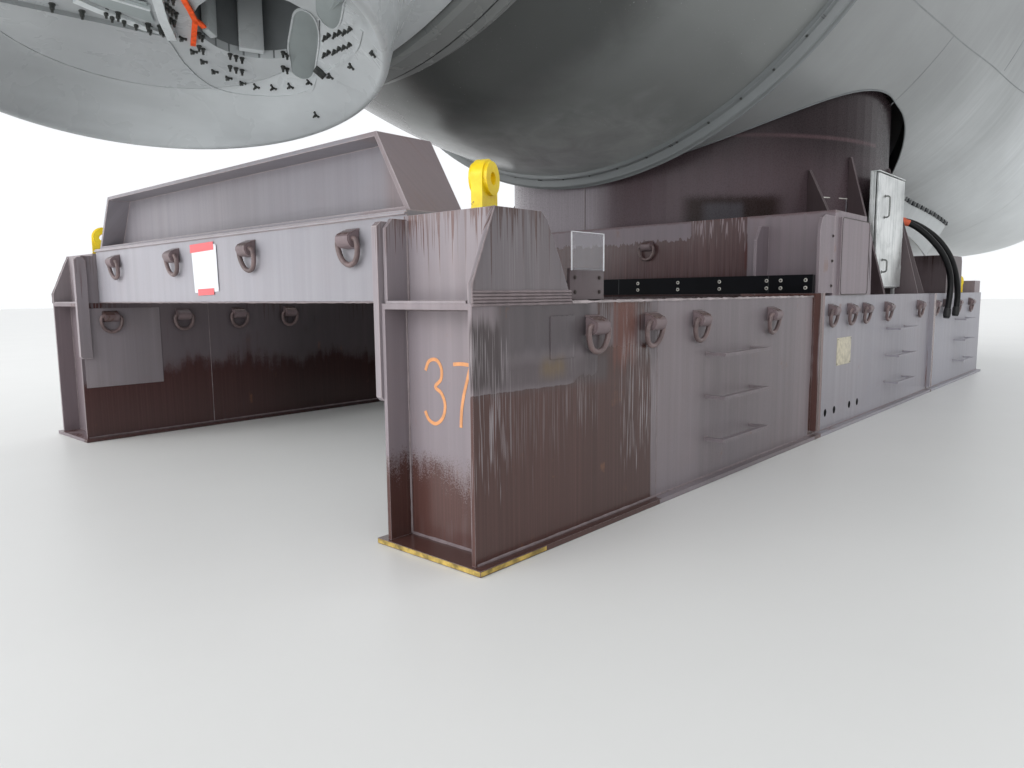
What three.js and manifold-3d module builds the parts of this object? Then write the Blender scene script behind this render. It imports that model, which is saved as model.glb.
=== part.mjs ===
// Offshore wind turbine nacelle on its steel transport frame.
// Millimetres, +Z up, floor at Z = 0. The rotor is at the -X end, the tail at the +X end.
// The frame's long girders run along X; Y = 0 is the centre line.
import * as THREE from 'three';
import { mergeVertices } from 'three/addons/utils/BufferGeometryUtils.js';
import Module from 'manifold-3d';

const wasm = await Module();
wasm.setup();

// ---------------------------------------------------------------- dimensions
const FRAME_LENGTH = 12000;          // girders, end to end
const FRAME_HALF_WIDTH = 2984;       // centre line to the edge of the bottom plates
const BOTTOM_PLATE = 30;             // bottom plate thickness
const BOTTOM_PLATE_WIDTH = 790;
const LIP = 60;                      // bottom plate stands out past the webs
const WEB = 26;                      // web plate thickness
const GIRDER_WIDTH = 670;            // over the webs
const DECK_Z = 1310;                 // top of the deck plate
const DECK_PLATE = 30;
const END_RECESS = 175;              // closing plate set back from the girder's end
const JOINT_FRONT_X = -1530;         // bolted module joints
const JOINT_REAR_X = 2640;
const JOINT_GAP = 2;
const JOINT_FLANGE = 52;
const JOINT_STANDOUT = 58;

const POST_TOP_Z = 1772;             // corner posts under the front lifting lugs
const CROSS_FRONT_X = -5780;
const CROSS_DEPTH = 480;
const CROSS_TOP_Z = 1812;
const HUMP_TOP_Z = 2270;
const HUMP_DEPTH = 410;
const SEAT_FRONT_X = -1120;          // front face of the wall before the tower adapter
const SEAT_BACK_X = 50;
const SEAT_TOP_Z = 2110;
const REAR_SEAT_X0 = 3450;
const REAR_SEAT_X1 = 4400;
const REAR_SEAT_TOP_Z = 1840;

const ADAPTER_X = 1480;              // axis of the tower adapter
const ADAPTER_R = 2550;
const ADAPTER_TOP_Z = 4180;
const GUSSET = 30;

const AXIS_Z = 6750;                 // rotor axis above the floor
const SEAM_X = -4560;                // gap between the turning hub and the housing
const HOUSING_REAR_X = -1260;
const RIM_X = -1170;
const RIM_R = 4150;
const CANOPY_X0 = -1140;
const CANOPY_SPLIT_X = 6000;
const ROTOR_TURN = -10;              // the lowest blade opening leans this far to the right side
const COLLAR_X = -6000;              // where the blade axes meet the rotor axis
const CONE = 5.7;                    // the blade axes lean forward, in degrees
const COLLAR_OUT = 4060;             // rotor axis to the lip of a blade opening
const COLLAR_R = 1400;
const PLATE_R = 980;                 // round end plate inside each blade opening
const FLANGE_OUT = 3700;             // rotor axis to the back of that plate
const PLATE_THICK = 60;
const MANHOLE_R = 380;               // manhole in the plate, off its middle
const MANHOLE_AT = [560, 230];

// ---------------------------------------------------------------- helpers
function solid(geometry) {
  const g = geometry.clone();
  g.deleteAttribute('normal');
  g.deleteAttribute('uv');
  const m = mergeVertices(g, 1e-3);
  const mesh = new wasm.Mesh({
    numProp: 3,
    vertProperties: Float32Array.from(m.attributes.position.array),
    triVerts: Uint32Array.from(m.index.array),
  });
  mesh.merge();
  return new wasm.Manifold(mesh);
}

function geometryOf(manifold) {
  const mesh = manifold.getMesh();
  const g = new THREE.BufferGeometry();
  g.setAttribute('position', new THREE.BufferAttribute(Float32Array.from(mesh.vertProperties), 3));
  g.setIndex(new THREE.BufferAttribute(Uint32Array.from(mesh.triVerts), 1));
  g.computeVertexNormals();
  return g;
}

function box(x0, y0, z0, x1, y1, z1) {
  const g = new THREE.BoxGeometry(Math.abs(x1 - x0), Math.abs(y1 - y0), Math.abs(z1 - z0));
  g.translate((x0 + x1) / 2, (y0 + y1) / 2, (z0 + z1) / 2);
  return solid(g);
}

// outline in X and Z, thickness along Y
function plateXZ(points, y0, y1) {
  const shape = new THREE.Shape(points.map(([x, z]) => new THREE.Vector2(x, z)));
  const lo = Math.min(y0, y1);
  const hi = Math.max(y0, y1);
  const g = new THREE.ExtrudeGeometry(shape, { depth: hi - lo, bevelEnabled: false });
  g.rotateX(Math.PI / 2);
  g.translate(0, hi, 0);
  return solid(g);
}

// outline in Y and Z, thickness along X
function plateYZ(points, x0, x1) {
  const shape = new THREE.Shape(points.map(([y, z]) => new THREE.Vector2(y, z)));
  const g = new THREE.ExtrudeGeometry(shape, { depth: x1 - x0, bevelEnabled: false });
  g.applyMatrix4(new THREE.Matrix4().set(0, 0, 1, x0, 1, 0, 0, 0, 0, 1, 0, 0, 0, 0, 0, 1));
  return solid(g);
}

// outline in X and Y, thickness along Z
function plateXY(points, z0, z1) {
  const shape = new THREE.Shape(points.map(([x, y]) => new THREE.Vector2(x, y)));
  const g = new THREE.ExtrudeGeometry(shape, { depth: z1 - z0, bevelEnabled: false });
  g.translate(0, 0, z0);
  return solid(g);
}

function cylinderZ(x, y, r, z0, z1, n = 64) {
  const g = new THREE.CylinderGeometry(r, r, z1 - z0, n);
  g.rotateX(Math.PI / 2);
  g.translate(x, y, (z0 + z1) / 2);
  return solid(g);
}

// profile of [x, radius] turned about the rotor axis
function turned(profile, n = 72) {
  const g = new THREE.LatheGeometry(profile.map(([x, r]) => new THREE.Vector2(r, x)), n);
  g.applyMatrix4(new THREE.Matrix4().set(0, 1, 0, 0, 0, 0, 1, 0, 1, 0, 0, AXIS_Z, 0, 0, 0, 1));
  return solid(g);
}

const group = new THREE.Group();
group.name = 'wind_turbine_nacelle';

function add(name, shape, color, roughness, metalness) {
  const geometry = shape.isBufferGeometry ? shape : geometryOf(shape);
  const mesh = new THREE.Mesh(geometry, new THREE.MeshStandardMaterial({ color, roughness, metalness }));
  mesh.name = name;
  group.add(mesh);
  return mesh;
}

const PRIMER = 0x6e5b58;
const PRIMER_DARK = 0x54413f;
const SHELL_GREY = 0x9aa0a0;
const DARK_GREY = 0x5f6466;
const YELLOW = 0xf0cf1c;
const STAINLESS = 0xd3d6d2;
const BLACK = 0x141414;

const X0 = -FRAME_LENGTH / 2;
const X1 = FRAME_LENGTH / 2;
const OUTER = FRAME_HALF_WIDTH - LIP;           // outer web face
const INNER = OUTER - GIRDER_WIDTH;             // inner web face
const PLATE_IN = FRAME_HALF_WIDTH - BOTTOM_PLATE_WIDTH;

// a U-shaped step welded on the outer web
function step(x, z, side) {
  const y0 = side * (OUTER - 4);
  const y1 = side * (OUTER + 150);
  const bar = 22;
  return box(x, y0, z - 10, x + 40, y1, z + 10)
    .add(box(x + 730, y0, z - 10, x + 770, y1, z + 10))
    .add(box(x, side * (OUTER + 106), z - bar / 2, x + 770, y1, z + bar / 2));
}

function girder(x0, x1, side, frontFlange, rearFlange, steps, recessAt) {
  const ys = [side * INNER, side * OUTER];
  let g = box(x0, ys[0], BOTTOM_PLATE, x1, ys[1], DECK_Z)
    .add(box(x0, side * PLATE_IN, 0, x1, side * FRAME_HALF_WIDTH, BOTTOM_PLATE));
  const flange = (a, b) => box(a, side * (INNER - 34), BOTTOM_PLATE + 42, b, side * (OUTER + JOINT_STANDOUT), a < 0 ? DECK_Z + 24 : DECK_Z);
  if (frontFlange) g = g.add(flange(x0, x0 + JOINT_FLANGE));
  if (rearFlange) g = g.add(flange(x1 - JOINT_FLANGE, x1));
  if (recessAt) {
    const inX = recessAt < 0 ? [x0 - 10, x0 + END_RECESS] : [x1 - END_RECESS, x1 + 10];
    g = g.subtract(box(inX[0], side * (INNER + WEB), BOTTOM_PLATE, inX[1], side * (OUTER - WEB), DECK_Z - DECK_PLATE));
    // the webs and the deck stop a little short of the bottom plate's end
    const cut = recessAt < 0 ? [x0 - 10, x0 + 28] : [x1 - 28, x1 + 10];
    g = g.subtract(box(cut[0], side * (INNER - 5), BOTTOM_PLATE, cut[1], side * (OUTER + 5), DECK_Z + 5));
  }
  for (const x of steps) for (const z of [310, 615, 920]) g = g.add(step(x, z, side));
  return g;
}

for (const [word, side] of [['right', -1], ['left', 1]]) {
  // ---------------------------------------------------------- long girders, three modules a side
  add(`girder_front_${word}`, girder(X0, JOINT_FRONT_X - JOINT_GAP, side, false, true, [-3640], -1), PRIMER, 0.55, 0.1);
  add(`girder_middle_${word}`, girder(JOINT_FRONT_X, JOINT_REAR_X - JOINT_GAP, side, true, true, [690], 0), PRIMER, 0.55, 0.1);
  add(`girder_rear_${word}`, girder(JOINT_REAR_X, X1, side, true, false, [4150], 1), PRIMER, 0.55, 0.1);

  // ---------------------------------------------------------- corner post under a front lifting lug
  const post = [
    [X0 + 28, DECK_Z + 0.5], [X0 + 28, 1400], [X0 + 190, POST_TOP_Z], [X0 + 545, POST_TOP_Z], [X0 + 592, POST_TOP_Z - 40],
    [X0 + 700, 1530], [X0 + 784, 1345], [X0 + 800, DECK_Z + 0.5],
  ];
  let p = plateXZ(post, side * (INNER + 4), side * OUTER);
  // front plate set back between the two side plates
  p = p.subtract(box(X0, side * INNER, DECK_Z + 0.4, X0 + 192, side * (OUTER - WEB), POST_TOP_Z + 1));
  // the inner side plate stands upright, with a chamfered top
  const upright = [[X0 + 46, DECK_Z + 0.5], [X0 + 46, 1700], [X0 + 92, 1752], [X0 + 200, 1752], [X0 + 200, DECK_Z + 0.5]];
  p = p.add(plateXZ(upright, side * (INNER + 4), side * (INNER + 4 + WEB)));
  p = p.add(box(X0 + 28, side * (INNER + 40), DECK_Z + 0.5, X0 + 200, side * (OUTER - 40), DECK_Z + 14));
  add(`corner_post_${word}`, p, PRIMER, 0.55, 0.1);

  // ---------------------------------------------------------- end plate of the front cross girder
  const hook = [
    [X0 + 10, 812], [X0 + 32, 790], [X0 + 112, 790], [X0 + 112, 1700], [X0 + 80, 1738], [X0 + 40, 1738], [X0 + 10, 1712],
  ];
  add(`cross_end_plate_${word}`, plateXZ(hook, side * (INNER - 1), side * (INNER - 46)), PRIMER_DARK, 0.55, 0.1);

  // ---------------------------------------------------------- gussets round the tower adapter
  [[31.2, SEAT_TOP_Z + 0.5, 2700, 2960], [17.3, DECK_Z + 0.5, 2880, 3058], [-9.4, DECK_Z + 0.5, 2880, 2966], [-20.3, DECK_Z + 0.5, 2880, 3050]].forEach(([deg, z0, zTop, rFoot], i) => {
    const tri = [[ADAPTER_R + 1.5, z0], [rFoot, z0], [rFoot, z0 + 18], [ADAPTER_R + 30, zTop], [ADAPTER_R + 1.5, zTop]];
    const shape = new THREE.Shape(tri.map(([a, b]) => new THREE.Vector2(a, b)));
    const g = new THREE.ExtrudeGeometry(shape, { depth: GUSSET, bevelEnabled: false });
    g.rotateX(Math.PI / 2);
    g.translate(0, GUSSET / 2, 0);
    const a = THREE.MathUtils.degToRad(deg);
    // direction in plan: mostly outwards in Y, leaning to the front for positive angles
    g.rotateZ(Math.atan2(side * Math.cos(a), -Math.sin(a)));
    g.translate(ADAPTER_X, 0, 0);
    add(`adapter_gusset_${word}_${i + 1}`, solid(g), PRIMER_DARK, 0.55, 0.1);
  });

  // ---------------------------------------------------------- lifting lugs
  for (const [end, lx, ly, lz, turn] of [['front', X0 + 430, 2984 - 352, POST_TOP_Z + 0.5, 1], ['rear', X0 + 11400, 2984 - 300, DECK_Z + 0.5, -1]]) {
    const s = new THREE.Shape();
    s.moveTo(-112, 0);
    s.lineTo(112, 0);
    s.lineTo(100, 30);
    s.lineTo(100, 178);
    s.absarc(0, 178, 100, 0, Math.PI, false);
    s.lineTo(-100, 30);
    s.lineTo(-112, 0);
    const hole = new THREE.Path();
    hole.absarc(0, 178, 33, 0, Math.PI * 2, true);
    s.holes.push(hole);
    const body = new THREE.ExtrudeGeometry(s, { depth: 64, bevelEnabled: false, curveSegments: 10 });
    body.translate(0, 0, -32);
    const ring = new THREE.Shape();
    ring.absarc(0, 178, 88, 0, Math.PI * 2, false);
    const ringHole = new THREE.Path();
    ringHole.absarc(0, 178, 33, 0, Math.PI * 2, true);
    ring.holes.push(ringHole);
    const boss = new THREE.ExtrudeGeometry(ring, { depth: 104, bevelEnabled: false, curveSegments: 10 });
    boss.translate(0, 0, -52);
    const lug = solid(body).add(solid(boss));
    const g = geometryOf(lug);
    g.rotateX(Math.PI / 2);
    g.rotateZ(-side * turn * THREE.MathUtils.degToRad(20));
    g.translate(lx, side * ly, lz);
    add(`lifting_lug_${end}_${word}`, solid(g), YELLOW, 0.4, 0.0);
  }
}

// ---------------------------------------------------------------- front cross girder and its hump
{
  const yEnd = INNER - 1;
  const box1 = box(CROSS_FRONT_X, -yEnd, DECK_Z + 0.5, CROSS_FRONT_X + CROSS_DEPTH, yEnd, CROSS_TOP_Z - 26)
    .add(box(CROSS_FRONT_X - 18, -yEnd, CROSS_TOP_Z - 26, CROSS_FRONT_X + CROSS_DEPTH + 18, yEnd, CROSS_TOP_Z))
    .subtract(box(CROSS_FRONT_X - 30, -yEnd - 5, CROSS_TOP_Z - 12, CROSS_FRONT_X - 4, yEnd + 5, CROSS_TOP_Z + 5));
  add('cross_girder_front', box1, PRIMER, 0.55, 0.1);

  const hx0 = CROSS_FRONT_X + 35;
  const hx1 = hx0 + HUMP_DEPTH;
  const z0 = CROSS_TOP_Z + 0.5;
  const outline = [[-2240, z0], [2240, z0], [1965, HUMP_TOP_Z], [-1965, HUMP_TOP_Z]];
  const inner = [[-2240 + 52, z0 + 24], [2240 - 52, z0 + 24], [1965 - 18, HUMP_TOP_Z - 28], [-1965 + 18, HUMP_TOP_Z - 28]];
  const hump = plateYZ(outline, hx0, hx1)
    .subtract(plateYZ(inner, hx0 - 5, (hx0 + hx1) / 2 - 14))
    .subtract(plateYZ(inner, (hx0 + hx1) / 2 + 14, hx1 + 5));
  add('cross_girder_hump', hump, PRIMER, 0.55, 0.1);
}

// ---------------------------------------------------------------- middle box between the girders
const bay = box(JOINT_FRONT_X + 80, -(INNER - 36), 330, JOINT_REAR_X - 80, INNER - 36, DECK_Z);
add('centre_box', bay, PRIMER_DARK, 0.6, 0.1);

// ---------------------------------------------------------------- seats before and behind the tower adapter
{
  const bore = cylinderZ(ADAPTER_X, 0, ADAPTER_R + 1, 1200, 2400, 96);
  const side = [
    [SEAT_FRONT_X, DECK_Z + 0.5], [SEAT_FRONT_X, SEAT_TOP_Z], [-190, SEAT_TOP_Z], [8, SEAT_TOP_Z - 200], [SEAT_BACK_X, DECK_Z + 0.5],
  ];
  let front = plateXZ(side, -OUTER, OUTER).subtract(bore);
  // raised cover panels on both sides, and the webs welded before the wall
  const fin = [[-1490, DECK_Z + 25], [-1490, 1930], [-1440, 2020], [-1370, 2050], [SEAT_FRONT_X + 5, 2050], [SEAT_FRONT_X + 5, DECK_Z + 25]];
  const finIn = [[-1400, DECK_Z + 25], [-1400, 1850], [-1300, 1990], [SEAT_FRONT_X + 5, 2000], [SEAT_FRONT_X + 5, DECK_Z + 25]];
  for (const s of [-1, 1]) {
    front = front.add(box(-1000, s * (OUTER - 5), 1318, -135, s * (OUTER + 22), 2052))
      .add(plateXZ(fin, s * (OUTER - 2), s * (OUTER - 28)))
      .add(plateXZ(finIn, s * (INNER + 30), s * (INNER + 2)));
  }
  add('adapter_seat_front', front, PRIMER, 0.55, 0.1);

  const rside = [
    [REAR_SEAT_X0, DECK_Z + 0.5], [REAR_SEAT_X0, REAR_SEAT_TOP_Z], [REAR_SEAT_X1 - 40, REAR_SEAT_TOP_Z], [REAR_SEAT_X1, REAR_SEAT_TOP_Z - 60], [REAR_SEAT_X1 + 40, DECK_Z + 0.5],
  ];
  add('adapter_seat_rear', plateXZ(rside, -OUTER, OUTER).subtract(bore), PRIMER_DARK, 0.6, 0.1);

  // guard strip on the front joint
  add('guard_strip', box(-1560, -(OUTER - 30), DECK_Z + 25, -1502, OUTER - 30, DECK_Z + 195), BLACK, 0.45, 0.0);

  // low beam across the far end
  add('cross_beam_rear', box(5560, -OUTER + 20, DECK_Z + 0.5, 5960, OUTER - 20, 1500), PRIMER_DARK, 0.6, 0.1);
}

// ---------------------------------------------------------------- tower adapter
{
  const tube = cylinderZ(ADAPTER_X, 0, ADAPTER_R, DECK_Z + 0.5, ADAPTER_TOP_Z - 60, 96);
  add('tower_adapter', tube, PRIMER_DARK, 0.5, 0.1);
  add('yaw_ring', cylinderZ(ADAPTER_X, 0, ADAPTER_R - 60, ADAPTER_TOP_Z - 59.5, ADAPTER_TOP_Z + 119.5, 72), DARK_GREY, 0.5, 0.4);
}

// ---------------------------------------------------------------- switch cabinet between the gussets
{
  const cx0 = 770;
  const cx1 = 1842;
  const y0 = -(2984 - 235);
  const y1 = -(2984 - 330);
  const c = box(cx0, y0 + 33, 1385, cx1, y1, 2700)
    .add(box(cx0 + 60, y0 + 44, DECK_Z + 0.5, cx0 + 110, y1 - 10, 1390))
    .add(box(cx1 - 110, y0 + 44, DECK_Z + 0.5, cx1 - 60, y1 - 10, 1390));
  add('cabinet_body', c, STAINLESS, 0.35, 0.7);
  add('cabinet_door', box(cx0 + 14, y0, 1399, cx1 - 14, y0 + 26, 2686), STAINLESS, 0.3, 0.75);
}

// ---------------------------------------------------------------- generator housing and rim
{
  const front = [
    [SEAM_X + 40, 0], [SEAM_X + 40, 3560], [SEAM_X + 110, 3620], [SEAM_X + 300, 3610], [SEAM_X + 345, 3520],
    [SEAM_X + 520, 3530], [SEAM_X + 565, 3450], [-3900, 3440], [-3900, 0],
  ];
  add('front_ring', turned(front, 84), DARK_GREY, 0.5, 0.1);
  const housing = [
    [-3899, 0], [-3899, 3405], [-3700, 3470], [-3300, 3610], [-2800, 3750], [-2200, 3880], [-1600, 3965], [HOUSING_REAR_X - 50, 4000], [HOUSING_REAR_X - 50, 0],
  ];
  add('generator_housing', turned(housing, 84), DARK_GREY, 0.45, 0.1);
  const rim = [
    [HOUSING_REAR_X - 49, 0], [HOUSING_REAR_X - 49, 4040], [RIM_X - 60, 4055], [RIM_X - 40, RIM_R], [RIM_X + 6, RIM_R], [RIM_X + 18, 4040], [CANOPY_X0 - 1, 4030], [CANOPY_X0 - 1, 0],
  ];
  add('rim_flange', turned(rim, 84), SHELL_GREY, 0.45, 0.1);
}

// ---------------------------------------------------------------- hub cover with its three blade openings
const bladeAngles = [0, 120, 240].map((a) => a + ROTOR_TURN);
// places a shape made along +Z from the rotor axis onto a blade axis; 0 points straight down
function onBlade(geometry, deg) {
  const g = geometry.clone();
  g.rotateY(-THREE.MathUtils.degToRad(CONE));
  g.rotateX(Math.PI + THREE.MathUtils.degToRad(deg));
  g.translate(COLLAR_X, 0, AXIS_Z);
  return g;
}
{
  const nose = turned([
    [-10600, 0], [-10560, 700], [-10380, 1350], [-10050, 1950], [-9500, 2560], [-8800, 3020], [-8000, 3330], [-7000, 3500], [-6000, 3570], [-5000, 3600], [SEAM_X, 3600], [SEAM_X, 0],
  ], 56);
  const SEAT_FOOT = 3050;            // rotor axis to the flat on which each blade seat stands
  const upZ = (pts, n) => {
    const g = new THREE.LatheGeometry(pts.map(([r, h]) => new THREE.Vector2(r, h)), n);
    g.rotateX(Math.PI / 2);
    return g;
  };
  const rod = (r, h0, h1, n, at = [0, 0]) => {
    const g = new THREE.CylinderGeometry(r, r, h1 - h0, n);
    g.rotateX(Math.PI / 2);
    g.translate(at[0], at[1], (h0 + h1) / 2);
    return g;
  };
  const beyond = (h) => {
    const g = new THREE.BoxGeometry(10000, 6000, 2000);
    g.translate(0, 0, h + 1000);
    return g;
  };
  // round foot of each blade opening, rising out of the nose
  const foot = [[0, SEAT_FOOT + 0.6], [COLLAR_R + 260, SEAT_FOOT + 0.6], [COLLAR_R + 240, 3420], [COLLAR_R + 120, 3640], [COLLAR_R + 100, FLANGE_OUT], [0, FLANGE_OUT]];
  const outside = [
    [0, FLANGE_OUT + 0.6], [COLLAR_R + 100, FLANGE_OUT + 0.6], [COLLAR_R + 30, COLLAR_OUT - 150],
    [COLLAR_R, COLLAR_OUT - 30], [COLLAR_R - 28, COLLAR_OUT], [COLLAR_R - 60, COLLAR_OUT - 12], [0, COLLAR_OUT - 12],
  ];
  // a shallow bell from the lip down to the round plate
  const bell = [
    [0, FLANGE_OUT - 50], [PLATE_R + 5, FLANGE_OUT - 50], [PLATE_R + 5, FLANGE_OUT + 62], [1090, 3822], [1200, 3902], [1285, 3976], [1332, 4030], [COLLAR_R - 56, COLLAR_OUT], [COLLAR_R - 56, COLLAR_OUT + 200], [0, COLLAR_OUT + 200],
  ];
  let hub = nose;
  bladeAngles.forEach((deg, i) => {
    hub = hub.subtract(solid(onBlade(beyond(SEAT_FOOT), deg)));
    const seat = nose.intersect(solid(onBlade(beyond(SEAT_FOOT + 0.6), deg)))
      .add(solid(onBlade(upZ(foot, 36), deg)))
      .subtract(solid(onBlade(rod(MANHOLE_R, SEAT_FOOT - 100, FLANGE_OUT + 100, 24, MANHOLE_AT), deg)));
    add(`blade_seat_${i + 1}`, seat, SHELL_GREY, 0.4, 0.05);
    const collar = solid(upZ(outside, 36)).subtract(solid(upZ(bell, 36)));
    add(`blade_collar_${i + 1}`, solid(onBlade(geometryOf(collar), deg)), SHELL_GREY, 0.4, 0.05);
  });
  add('hub_cover', hub, SHELL_GREY, 0.4, 0.05);
  // round plate in each opening, onto which the blade's root is bolted
  bladeAngles.forEach((deg, i) => {
    const plate = solid(rod(PLATE_R, FLANGE_OUT + 0.6, FLANGE_OUT + PLATE_THICK, 36)).subtract(solid(rod(MANHOLE_R, FLANGE_OUT - 50, FLANGE_OUT + 100, 24, MANHOLE_AT)));
    add(`blade_flange_${i + 1}`, solid(onBlade(geometryOf(plate), deg)), 0xb4babb, 0.45, 0.2);
  });
}

// ---------------------------------------------------------------- two supply cables from the tower adapter, tied up at the rear girder
{
  const CABLE_R = 40;
  const ROUTES = [
    [[2579.1, -2304.2, 2300], [2632, -2415, 2300], [2690, -2532, 2278], [2760, -2655, 2212], [2870, -2765, 2108], [3000, -2852, 1988], [3125, -2922, 1858], [3232, -2972, 1712], [3305, -2998, 1562], [3332, -3007, 1412], [3310, -3008, 1262], [3262, -3005, 1115], [3225, -3002, 970]],
    [[2698.6, -2243.9, 2300], [2757, -2354, 2312], [2826, -2470, 2306], [2912, -2600, 2262], [3022, -2725, 2178], [3150, -2835, 2066], [3285, -2920, 1930], [3415, -2980, 1776], [3528, -3014, 1608], [3614, -3030, 1440], [3664, -3034, 1282], [3676, -3028, 1130], [3662, -3020, 985]],
  ];
  ROUTES.forEach((pts, i) => {
    const curve = new THREE.CatmullRomCurve3(pts.map(([x, y, z]) => new THREE.Vector3(x, y, z)), false, 'centripetal');
    const ring = new THREE.Shape();
    for (let k = 0; k < 10; k++) {
      const a = (k / 10) * Math.PI * 2;
      if (k === 0) ring.moveTo(CABLE_R * Math.cos(a), CABLE_R * Math.sin(a));
      else ring.lineTo(CABLE_R * Math.cos(a), CABLE_R * Math.sin(a));
    }
    ring.closePath();
    add(`supply_cable_${i + 1}`, solid(new THREE.ExtrudeGeometry(ring, { steps: 22, bevelEnabled: false, extrudePath: curve })), BLACK, 0.5, 0.0);
  });
}

// ---------------------------------------------------------------- rear canopy
{
  const N = 40;
  // [x, half width, top z, bottom z, squareness]
  const sections = [
    [CANOPY_X0, 4030, 10780, 2720, 2.0],
    [1500, 4070, 10810, 2690, 2.0],
    [3200, 4100, 10820, 2500, 2.15],
    [4600, 4130, 10810, 2250, 2.6],
    [CANOPY_SPLIT_X, 4150, 10780, 2030, 3.3],
    [7600, 4160, 10740, 1965, 4.2],
    [8900, 4120, 10660, 1975, 4.4],
    [9700, 3900, 10450, 2150, 4.0],
    [10250, 3380, 9980, 2620, 3.4],
    [10500, 2550, 9250, 3450, 2.8],
    [10600, 1350, 8150, 4850, 2.3],
  ];
  const ringPoints = ([x, a, top, bottom, n]) => {
    const zc = (top + bottom) / 2;
    const b = (top - bottom) / 2;
    const pts = [];
    for (let i = 0; i < N; i++) {
      const t = (i / N) * Math.PI * 2;
      const c = Math.cos(t);
      const s = Math.sin(t);
      const k = (v) => Math.sign(v) * Math.pow(Math.abs(v), 2 / n);
      pts.push([x, a * k(c), zc + b * k(s)]);
    }
    return pts;
  };
  const loft = (rows) => {
    const v = [];
    const f = [];
    for (const row of rows) for (const p of ringPoints(row)) v.push(...p);
    const first = v.length / 3;
    const mean = (row) => [row[0], 0, (row[2] + row[3]) / 2];
    v.push(...mean(rows[0]), ...mean(rows[rows.length - 1]));
    for (let r = 0; r + 1 < rows.length; r++) {
      for (let i = 0; i < N; i++) {
        const a = r * N + i;
        const b = r * N + ((i + 1) % N);
        const c = a + N;
        const d = b + N;
        f.push(a, b, d, a, d, c);
      }
    }
    for (let i = 0; i < N; i++) {
      f.push(first, (i + 1) % N, i);
      const q = (rows.length - 1) * N;
      f.push(first + 1, q + i, q + ((i + 1) % N));
    }
    const g = new THREE.BufferGeometry();
    g.setAttribute('position', new THREE.BufferAttribute(Float32Array.from(v), 3));
    g.setIndex(f);
    return g;
  };
  const split = sections.findIndex((s) => s[0] === CANOPY_SPLIT_X);
  const stretch = (r, z0, z1) => cylinderZ(ADAPTER_X, 0, r, z0, z1, 64).add(cylinderZ(ADAPTER_X + 380, 0, r - 20, z0, z1, 64));
  const main = solid(loft(sections.slice(0, split + 1))).subtract(stretch(2640, 1000, ADAPTER_TOP_Z + 120));
  add('canopy_main', main, SHELL_GREY, 0.4, 0.05);
  const tailRows = sections.slice(split).map((s, i) => (i === 0 ? [s[0] + 6, s[1], s[2], s[3], s[4]] : s));
  add('canopy_tail', solid(loft(tailRows)), SHELL_GREY, 0.4, 0.05);
}

export default group;
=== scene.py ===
# Looks of the wind turbine nacelle on its transport frame.
# Metres, +Z up, rotor at the -X end. Right is the -Y side.
import math
import random

import bpy
import bmesh
from mathutils import Matrix, Vector


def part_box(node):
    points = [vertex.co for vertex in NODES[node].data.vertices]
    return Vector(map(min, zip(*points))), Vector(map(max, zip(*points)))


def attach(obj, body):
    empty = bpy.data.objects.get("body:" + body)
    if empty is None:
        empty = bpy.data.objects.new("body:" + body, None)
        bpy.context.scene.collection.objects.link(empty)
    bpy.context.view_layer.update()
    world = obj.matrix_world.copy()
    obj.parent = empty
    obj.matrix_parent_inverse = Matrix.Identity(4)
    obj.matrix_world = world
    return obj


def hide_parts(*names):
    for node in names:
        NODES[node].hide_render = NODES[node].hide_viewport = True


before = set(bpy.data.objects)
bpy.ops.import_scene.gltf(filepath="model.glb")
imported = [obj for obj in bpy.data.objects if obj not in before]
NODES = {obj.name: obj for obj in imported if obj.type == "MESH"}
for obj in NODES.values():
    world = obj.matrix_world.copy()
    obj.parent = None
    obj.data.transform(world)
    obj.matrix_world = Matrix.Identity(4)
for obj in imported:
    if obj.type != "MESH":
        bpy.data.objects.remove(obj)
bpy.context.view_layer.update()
rng = random.Random(23)
scene = bpy.context.scene
PARENT = "nacelle_and_frame"
ROTOR = "rotor"
DOOR = "cabinet_door"

# ------------------------------------------------------------------ sizes, as in the model
X0, X1 = -6.0, 6.0
OUTER, INNER, EDGE = 2.924, 2.254, 2.984
DECK = 1.31
AXIS_Z = 6.75
SEAM_X = -4.56

# ------------------------------------------------------------------ camera
F_PX = 740.95
PITCH, ROLL, YAW = math.radians(6.880), math.radians(-0.581), math.radians(41.911)
CAM = Vector((-8.439, -5.388, 1.35))
fwd = Vector((math.cos(YAW), math.sin(YAW), 0))
side = Vector((math.sin(YAW), -math.cos(YAW), 0))
up = Vector((0, 0, 1))
look = fwd * math.cos(PITCH) - up * math.sin(PITCH)
u0 = up * math.cos(PITCH) + fwd * math.sin(PITCH)
cr = side * math.cos(ROLL) + u0 * math.sin(ROLL)
cu = -side * math.sin(ROLL) + u0 * math.cos(ROLL)
cam_data = bpy.data.cameras.new("camera")
cam_data.sensor_fit = "HORIZONTAL"
cam_data.sensor_width = 36.0
cam_data.lens = F_PX / 1024 * 36.0
cam_data.clip_end = 500
cam = bpy.data.objects.new("camera", cam_data)
scene.collection.objects.link(cam)
m = Matrix.Identity(4)
for i in range(3):
    m[i][0], m[i][1], m[i][2], m[i][3] = cr[i], cu[i], -look[i], CAM[i]
cam.matrix_world = m
scene.camera = cam
scene.view_settings.view_transform = "Standard"
scene.view_settings.look = "None"


def ray(px, py):
    """Direction from the camera through a point of a 1024 by 768 frame."""
    return (look + cr * ((px - 512) / F_PX) - cu * ((py - 384) / F_PX)).normalized()


def on_plane(px, py, point, normal):
    d = ray(px, py)
    n = Vector(normal)
    return CAM + d * ((Vector(point) - CAM).dot(n) / d.dot(n))


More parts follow.
